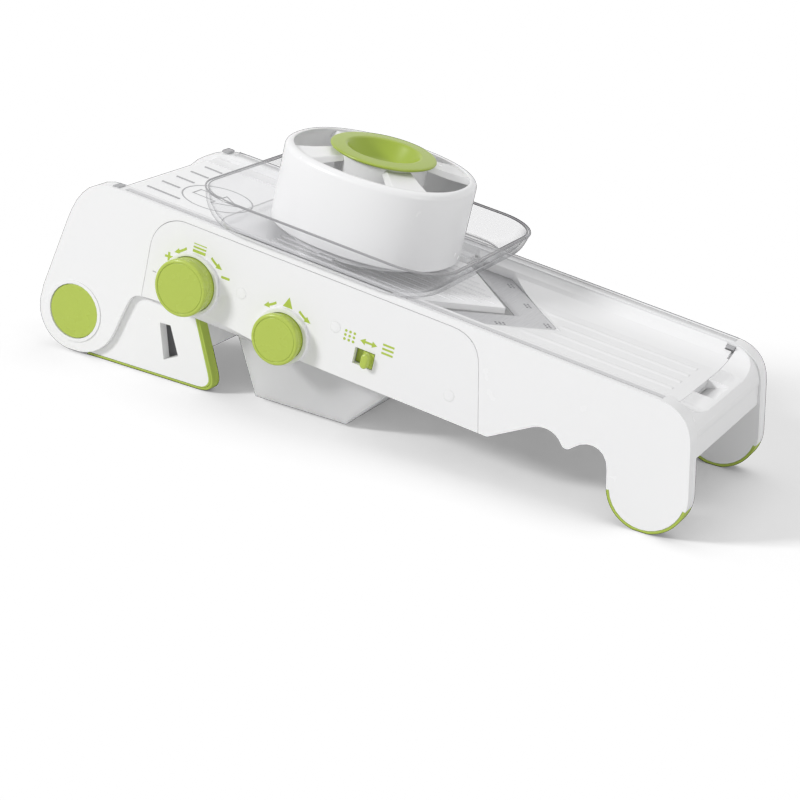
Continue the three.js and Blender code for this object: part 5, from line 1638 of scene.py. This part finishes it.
@dataclass
class FoodHolder:
    """The clear dish with the white drum, the pusher and its green cap."""

    finishes: Finishes
    middle: float = 140.0
    foot_half: Flat = (64.5, 67.5)
    rim_half: Flat = (78.0, 72.5)
    foot_corner: float = 22.0
    rim_corner: float = 27.0
    dish_low: float = 0.5
    dish_top: float = 19.0
    dish_floor: float = 2.0
    dish_wall: float = 1.8
    lip_half: tuple[Flat, ...] = ((0.0, 0.75), (0.12, 0.35), (0.4, 0.08), (0.75, 0.0))
    bead_steps: int = 8
    runner: Span = (60.6, 61.7)
    runner_half: float = 50.0
    runner_z: Span = (-1.0, 0.46)
    hole: float = 44.3
    wall_shares: tuple[Flat, ...] = ((0, 0), (0.12, 0.32), (0.32, 0.62), (0.6, 0.85), (1, 1))
    drum_half: Flat = (55.0, 47.0)
    drum_power: float = 2.2
    drum_low: float = 2.9
    drum_top: float = 48.0
    drum_wall: float = 2.6
    drum_round: float = 3.6
    flange_top: float = 5.3
    neck: float = 44.0
    neck_inner: float = 41.5
    neck_low: float = -1.2
    lug_half: float = 4.5
    lug_end: float = 47.2
    lug_top: float = 0.1
    hub_outer: float = 25.8
    hub_inner: float = 23.0
    hub_low: float = 38.0
    hub_top: float = 50.6
    spoke_turns: tuple[float, ...] = (42.0, 138.0, 222.0, 318.0)
    spoke_reach: Span = (20.0, 60.0)
    spoke_inset: float = 1.5
    spoke_halvings: int = 30
    # Rows of a spoke: distance, height, half widths above and below, depth. The last ends at the wall.
    spoke_rows: tuple[tuple[float | None, ...], ...] = (
        (24.6, 50.2, 7.2, 9.0, 3.0),
        (38.0, 47.7, 8.9, 11.0, 3.2),
        (None, 46.3, 10.4, 12.6, 3.4),
    )
    plate_radius: float = 40.8
    plate_top: float = 3.0
    post_outer: float = 22.5
    post_inner: float = 20.3
    post_top: float = 51.2
    spike_profile: tuple[Flat, ...] = ((0, 0.4), (2.4, 0.4), (1.5, -0.5), (0.3, -1.2), (0, -1.2))
    spike_pitch: float = 13.0
    spike_field: float = 38.4
    cap_under: tuple[Flat, ...] = ((0, 40.9), (13.0, 40.9), (20.0, 44.9), (20.0, 51.5), (28.3, 51.5))
    cap_rim: tuple[Flat, ...] = (
        *((29.3, 51.65), (29.95, 52.05), (30.2, 52.6), (30.05, 53.05), (29.5, 53.4), (28.6, 53.55)),
        *((22.4, 53.9), (21.6, 53.82), (20.9, 53.5), (20.4, 52.9)),
    )
    cap_bowl: tuple[Flat, ...] = (
        *((19.9, 52.0), (17.6, 48.2), (15.4, 45.0), (14.4, 43.9)),
        *((13.2, 43.2), (11.8, 42.9), (6.0, 42.9), (0, 42.9)),
    )

    def build(self) -> None:
        """Builds the holder."""
        self.dish()
        self.drum()
        self.pusher()
        cap = Clay().lathe([*self.cap_under, *self.cap_rim, *self.cap_bowl], self.place())
        cap.dress("pusher_cap", Body.PUSHER, Slot.GREEN, self.finishes.cap)

    def place(self, turn: float = 0.0) -> Matrix:
        """The holder's own frame in the deck's frame, turned by some degrees."""
        return Matrix.Translation((self.middle, 0, 0)) @ Matrix.Rotation(math.radians(turn), 4, "Z")

    def wall_ring(self, share: float, spread: float, inset: float, low: float) -> list[Point]:
        """A ring of the dish's wall.

        Args:
            share: How far up the wall it lies, from 0 to 1.
            spread: How far it has flared, from 0 at the foot to 1 at the rim.
            inset: How far inside the outer face it lies.
            low: The height at the foot.

        Returns:
            The ring.
        """
        half_x, half_y, corner = (
            foot + spread * (rim - foot) - inset
            for foot, rim in (*zip(self.foot_half, self.rim_half), (self.foot_corner, self.rim_corner))
        )
        return rectangle_ring(half_x, half_y, corner, low + share * (self.dish_top - low), self.middle)

    def dish(self) -> None:
        """Builds the clear dish with its flared wall and runners, and grey beads on its edges that paint
        their shade.
        """
        ring, low = self.wall_ring, self.dish_low
        floor_top = low + self.dish_floor
        curve = smooth_table(self.wall_shares, 5)
        outer = [ring(lift, spread, 0.0, low) for lift, spread in curve[:-1]]
        inner = [ring(lift, spread, self.dish_wall, floor_top) for lift, spread in reversed(curve[:-1])]
        back = ((self.dish_wall - across, down) for across, down in reversed(self.lip_half))
        lip = []
        for inset, drop in (*self.lip_half, *back):
            lip.append([(x, y, self.dish_top - drop) for x, y, _ in ring(1.0, 1.0, inset, low)])
        hole = [self.circle(outer[0], self.hole, z) for z in (floor_top, low)]
        clay = Clay().skin([*outer, *lip, *inner, *hole], closed=True)
        for side in Side:
            run = (self.middle - self.runner_half, self.middle + self.runner_half)
            clay.block(*zip(run, side.span(*self.runner), self.runner_z))
        clay.dress("guard_dish", Body.DISH, Slot.CLEAR, self.finishes.clear)
        # Grey beads along the rim and the foot: painted shade for the dark lines of the clear edges.
        for name, spread, inset, height, radius, finish in (
            ("dish_rim_outer", 1.0, 0.25, self.dish_top - 0.3, 0.5, self.finishes.clear_edge),
            ("dish_rim_inner", 1.0, self.dish_wall + 0.1, self.dish_top - 0.3, 0.32, self.finishes.line),
            ("dish_foot_line", 0.0, 0.2, low + 0.25, 0.3, self.finishes.inner),
        ):
            bead = []
            for step in range(self.bead_steps):
                turn = 2 * math.pi * step / self.bead_steps
                path = ring(1.0, spread, inset - radius * math.cos(turn), low)
                bead.append([(x, y, height + radius * math.sin(turn)) for x, y, _ in path])
            Clay().skin(bead, closed=True).piece(name, Body.DISH, Slot.CLEAR, finish)

    def oval(self, inset: float, z: float) -> list[Point]:
        """A ring of the drum.

        Args:
            inset: How far it lies inside the drum's outline.
            z: Its height.

        Returns:
            The ring.
        """
        ring = []
        for step in range(ROUND_STEPS):
            turn = 2 * math.pi * step / ROUND_STEPS
            c, s = math.cos(turn), math.sin(turn)
            x = (self.drum_half[0] - inset) * math.copysign(abs(c) ** (2 / self.drum_power), c)
            y = (self.drum_half[1] - inset) * math.copysign(abs(s) ** (2 / self.drum_power), s)
            ring.append((self.middle + x, y, z))
        return ring

    def circle(self, like: Sequence[Point], radius: float, z: float) -> list[Point]:
        """A round ring with a point for each point of another ring.

        Args:
            like: The other ring.
            radius: Its radius.
            z: Its height.

        Returns:
            The ring.
        """
        turns = (math.atan2(y, x - self.middle) for x, y, _ in like)
        return [(self.middle + radius * math.cos(a), radius * math.sin(a), z) for a in turns]

    def drum(self) -> None:
        """Builds the drum with its flange, neck, lugs, spokes and hub."""
        low, top, rounding = self.drum_low, self.drum_top, self.drum_round
        opening = self.drum_wall + rounding / 2
        shoulder = [(inset, top - drop) for inset, drop in arc((rounding, rounding), rounding, 180, 270, 10)]
        wall = [(0.35, low), (0.0, low + 0.4), *shoulder, (opening - 0.2, top - 0.05), (opening, top - 0.4)]
        wall += [(self.drum_wall, top - rounding - 0.4), (self.drum_wall, self.flange_top)]
        neck = [(self.neck_inner, self.flange_top), (self.neck_inner, self.neck_low)]
        neck += [(self.neck, self.neck_low), (self.neck, low)]
        rings = [self.oval(inset, z) for inset, z in wall]
        rings += [self.circle(self.oval(0, 0), radius, z) for radius, z in neck]
        clay = Clay().skin(rings, closed=True)
        lug_low = (self.neck_inner + 1, -self.lug_half, self.neck_low)
        for quarter in range(4):
            lug = Clay().block(lug_low, (self.lug_end, self.lug_half, self.lug_top))
            clay.take(lug.plain_mesh("lug"), self.place(90 * quarter))
        for turn in self.spoke_turns:
            clay.take(self.spoke(turn).plain_mesh("spoke"), self.place(turn))
        hub = [
            (self.hub_inner, self.hub_low),
            (self.hub_outer, self.hub_low),
            (self.hub_outer, self.hub_top - 0.5),
            (self.hub_outer - 0.5, self.hub_top),
            (self.hub_inner + 0.3, self.hub_top),
            (self.hub_inner, self.hub_top - 0.3),
        ]
        clay.lathe(hub, self.place())
        clay.dress("holder_drum", Body.DRUM, Slot.WHITE, self.finishes.white)

    def reach(self, turn: float, aside: float, inset: float) -> float:
        """How far a spoke reaches before it meets the drum's outline.

        Args:
            turn: The spoke's direction, in degrees.
            aside: The distance to the left of its middle.
            inset: How far inside the outline it ends.

        Returns:
            The distance along the spoke.
        """
        c, s = math.cos(math.radians(turn)), math.sin(math.radians(turn))
        low, high = self.spoke_reach
        for _ in range(self.spoke_halvings):
            middle = (low + high) / 2
            x = abs(middle * c - aside * s) / (self.drum_half[0] - inset)
            y = abs(middle * s + aside * c) / (self.drum_half[1] - inset)
            if x**self.drum_power + y**self.drum_power < 1:
                low = middle
            else:
                high = middle
        return low

    def spoke(self, turn: float) -> Clay:
        """One spoke along X, wider and flared where it meets the rim.

        Args:
            turn: The direction that it will have, in degrees.

        Returns:
            The spoke.
        """
        rings = []
        for x, z, top, low, deep in self.spoke_rows:
            section = [(-low, z - deep), (0, z - deep), (low, z - deep), (top + 0.3, z - 0.5)]
            section += [(top - 0.3, z), (0, z), (0.3 - top, z), (-top - 0.3, z - 0.5)]
            inset = self.spoke_inset
            rings.append([(x or self.reach(turn, y, inset), y, height) for y, height in section])
        return Clay().skin(rings)

    def pusher(self) -> None:
        """Builds the pusher's plate and post, and its spikes."""
        plate, floor = self.plate_radius, self.plate_top
        outer, inner, top = self.post_outer, self.post_inner, self.post_top
        profile = [(0, 0), (plate - 0.4, 0), (plate, 0.4), (plate, floor - 0.4), (plate - 0.4, floor)]
        profile += [(outer + 0.8, floor), (outer, floor + 0.8), (outer, top - 0.3), (outer - 0.3, top)]
        profile += [(inner + 0.3, top), (inner, top - 0.3), (inner, floor), (0, floor)]
        clay = Clay().lathe(profile, self.place())
        clay.dress("pusher", Body.PUSHER, Slot.WHITE, self.finishes.white)
        spikes = Repeater(Pattern.GRID).spread(
            Clay().lathe(self.spike_profile, Matrix.Identity(4), 4),
            rows=5,
            columns=5,
            pitch=(self.spike_pitch, self.spike_pitch),
            finish=self.finishes.white,
            reach=self.spike_field,
        )
        clay = Clay().take(spikes, self.place())
        clay.piece("pusher_spikes", Body.PUSHER, Slot.WHITE, self.finishes.white)


@dataclass
class Mechanism:
    """The turned and flat metal and plastic parts inside, which keep their solids."""

    finishes: Finishes
    pins: tuple[str, ...] = ("ramp_pivot_pin", "pivot_pin_near", "pivot_pin_far")
    shafts: tuple[str, ...] = ("thickness_shaft", "comb_shaft")
    combs: tuple[str, ...] = ("fine_comb", "coarse_comb")
    mouldings: tuple[str, ...] = ("thickness_cam_near", "thickness_cam_far", "comb_hub", "turn_peg")
    # The switch bar is painted dark green as shade in the slot.
    dark: tuple[str, ...] = ("switch_bar",)

    def build(self) -> None:
        """Gives each solid its finish."""
        for names, material in (
            (self.pins, self.finishes.rod),
            (self.shafts, self.finishes.rod),
            (self.combs, self.finishes.steel),
            (self.mouldings, self.finishes.inner),
            (self.dark, self.finishes.deep_green),
        ):
            for name in names:
                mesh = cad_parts[name].data
                mesh.materials.clear()
                mesh.materials.append(material)
                log.info("%s: keeps its solid", name)


@dataclass
class Studio:
    """The pale floor, the soft lamps and the camera."""

    spot: Point = (0.461580, -1.037486, 0.436781)
    right: Point = (0.88610876, 0.44398599, 0.13299512)
    up: Point = (-0.27186032, 0.26550177, 0.92498691)
    ahead: Point = (-0.37537079, 0.8557951, -0.35596562)
    lens: float = 95.321
    target: Point = (0, 0, 0.05)
    sky: float = 0.44
    floor_half: float = 4.0
    floor_drop: float = 0.0004

    def build(self) -> None:
        """Builds the studio."""
        self.floor()
        self.world()
        self.lamp("key_lamp", (-3.13, -3.2, 2.3), size=1.0, power=140.0)
        self.lamp("top_lamp", (0.2, 0.6, 2.0), size=2.2, power=12.0)
        self.lamp("right_lamp", (2.3, -1.1, 0.45), size=1.4, power=13.0).use_shadow = False
        self.camera()

    def floor(self) -> None:
        """Lays a plain pale floor that catches the shadow."""
        half = self.floor_half
        corners = [(-half, -half, 0), (half, -half, 0), (half, half, 0), (-half, half, 0)]
        mesh = bpy.data.meshes.new("floor")
        mesh.from_pydata(corners, [], [(0, 1, 2, 3)])
        tree = Tree("pale_floor")
        colour = tree.blend(tree.spread(tree.noise(3, 2), 0.0, 1.0), (0.86, 0.86, 0.86), (0.84, 0.84, 0.84))
        shader = tree.add("ShaderNodeBsdfDiffuse", Color=colour)
        mesh.materials.append(tree.surface(shader.outputs[0]))
        ground = bpy.data.objects.new("floor", mesh)
        ground.location.z = -self.floor_drop
        ground.is_shadow_catcher = True
        bpy.context.scene.collection.objects.link(ground)

    def world(self) -> None:
        """Makes the sky: plain white to the eye and in gloss, softer as a light."""
        world = bpy.data.worlds.new("studio")
        world.use_nodes = True
        nodes, links = world.node_tree.nodes, world.node_tree.links
        nodes.clear()
        path = nodes.new("ShaderNodeLightPath")
        seen = path.outputs["Is Camera Ray"]
        for ray in ("Is Glossy Ray", "Is Transmission Ray"):
            either = nodes.new("ShaderNodeMath")
            either.operation = "MAXIMUM"
            links.new(seen, either.inputs[0])
            links.new(path.outputs[ray], either.inputs[1])
            seen = either.outputs[0]
        strength = nodes.new("ShaderNodeMapRange")
        links.new(seen, strength.inputs["Value"])
        strength.inputs["To Min"].default_value = self.sky
        strength.inputs["To Max"].default_value = 1.0
        light = nodes.new("ShaderNodeBackground")
        light.inputs["Color"].default_value = (1, 1, 1, 1)
        links.new(strength.outputs["Result"], light.inputs["Strength"])
        links.new(light.outputs[0], nodes.new("ShaderNodeOutputWorld").inputs["Surface"])
        bpy.context.scene.world = world

    def lamp(self, name: str, place: Point, size: float, power: float) -> bpy.types.AreaLight:
        """Hangs a soft square lamp that faces the slicer.

        Args:
            name: Its name.
            place: Where it hangs, in metres.
            size: Its side, in metres.
            power: Its power, in watts.

        Returns:
            The lamp's light.
        """
        data = bpy.data.lights.new(name, "AREA")
        data.shape = "SQUARE"
        data.size = size
        data.energy = power
        lamp = bpy.data.objects.new(name, data)
        lamp.location = place
        lamp.rotation_euler = (Vector(self.target) - Vector(place)).to_track_quat("-Z", "Y").to_euler()
        bpy.context.scene.collection.objects.link(lamp)
        return data

    def camera(self) -> None:
        """Sets the camera to the photograph's viewpoint."""
        data = bpy.data.cameras.new("camera")
        data.lens = self.lens
        data.sensor_width = 36.0
        data.clip_end = 20.0
        camera = bpy.data.objects.new("camera", data)
        turn = Matrix((self.right, self.up, [-v for v in self.ahead])).transposed().to_4x4()
        camera.matrix_world = Matrix.Translation(self.spot) @ turn
        bpy.context.scene.collection.objects.link(camera)
        bpy.context.scene.camera = camera


def main() -> None:
    """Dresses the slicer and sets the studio."""
    logging.basicConfig(level=logging.INFO, format="%(message)s")
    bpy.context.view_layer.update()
    finishes = Finishes()
    Casings(finishes).build()
    Ramp(finishes).build()
    ControlPanel(finishes).build()
    Knobs(finishes).build()
    VBlade(finishes).build()
    Stand(finishes).build()
    Feet(finishes).build()
    FoodHolder(finishes).build()
    Mechanism(finishes).build()
    Studio().build()
    bpy.context.scene.view_settings.view_transform = "Standard"


if __name__ == "__main__":
    main()
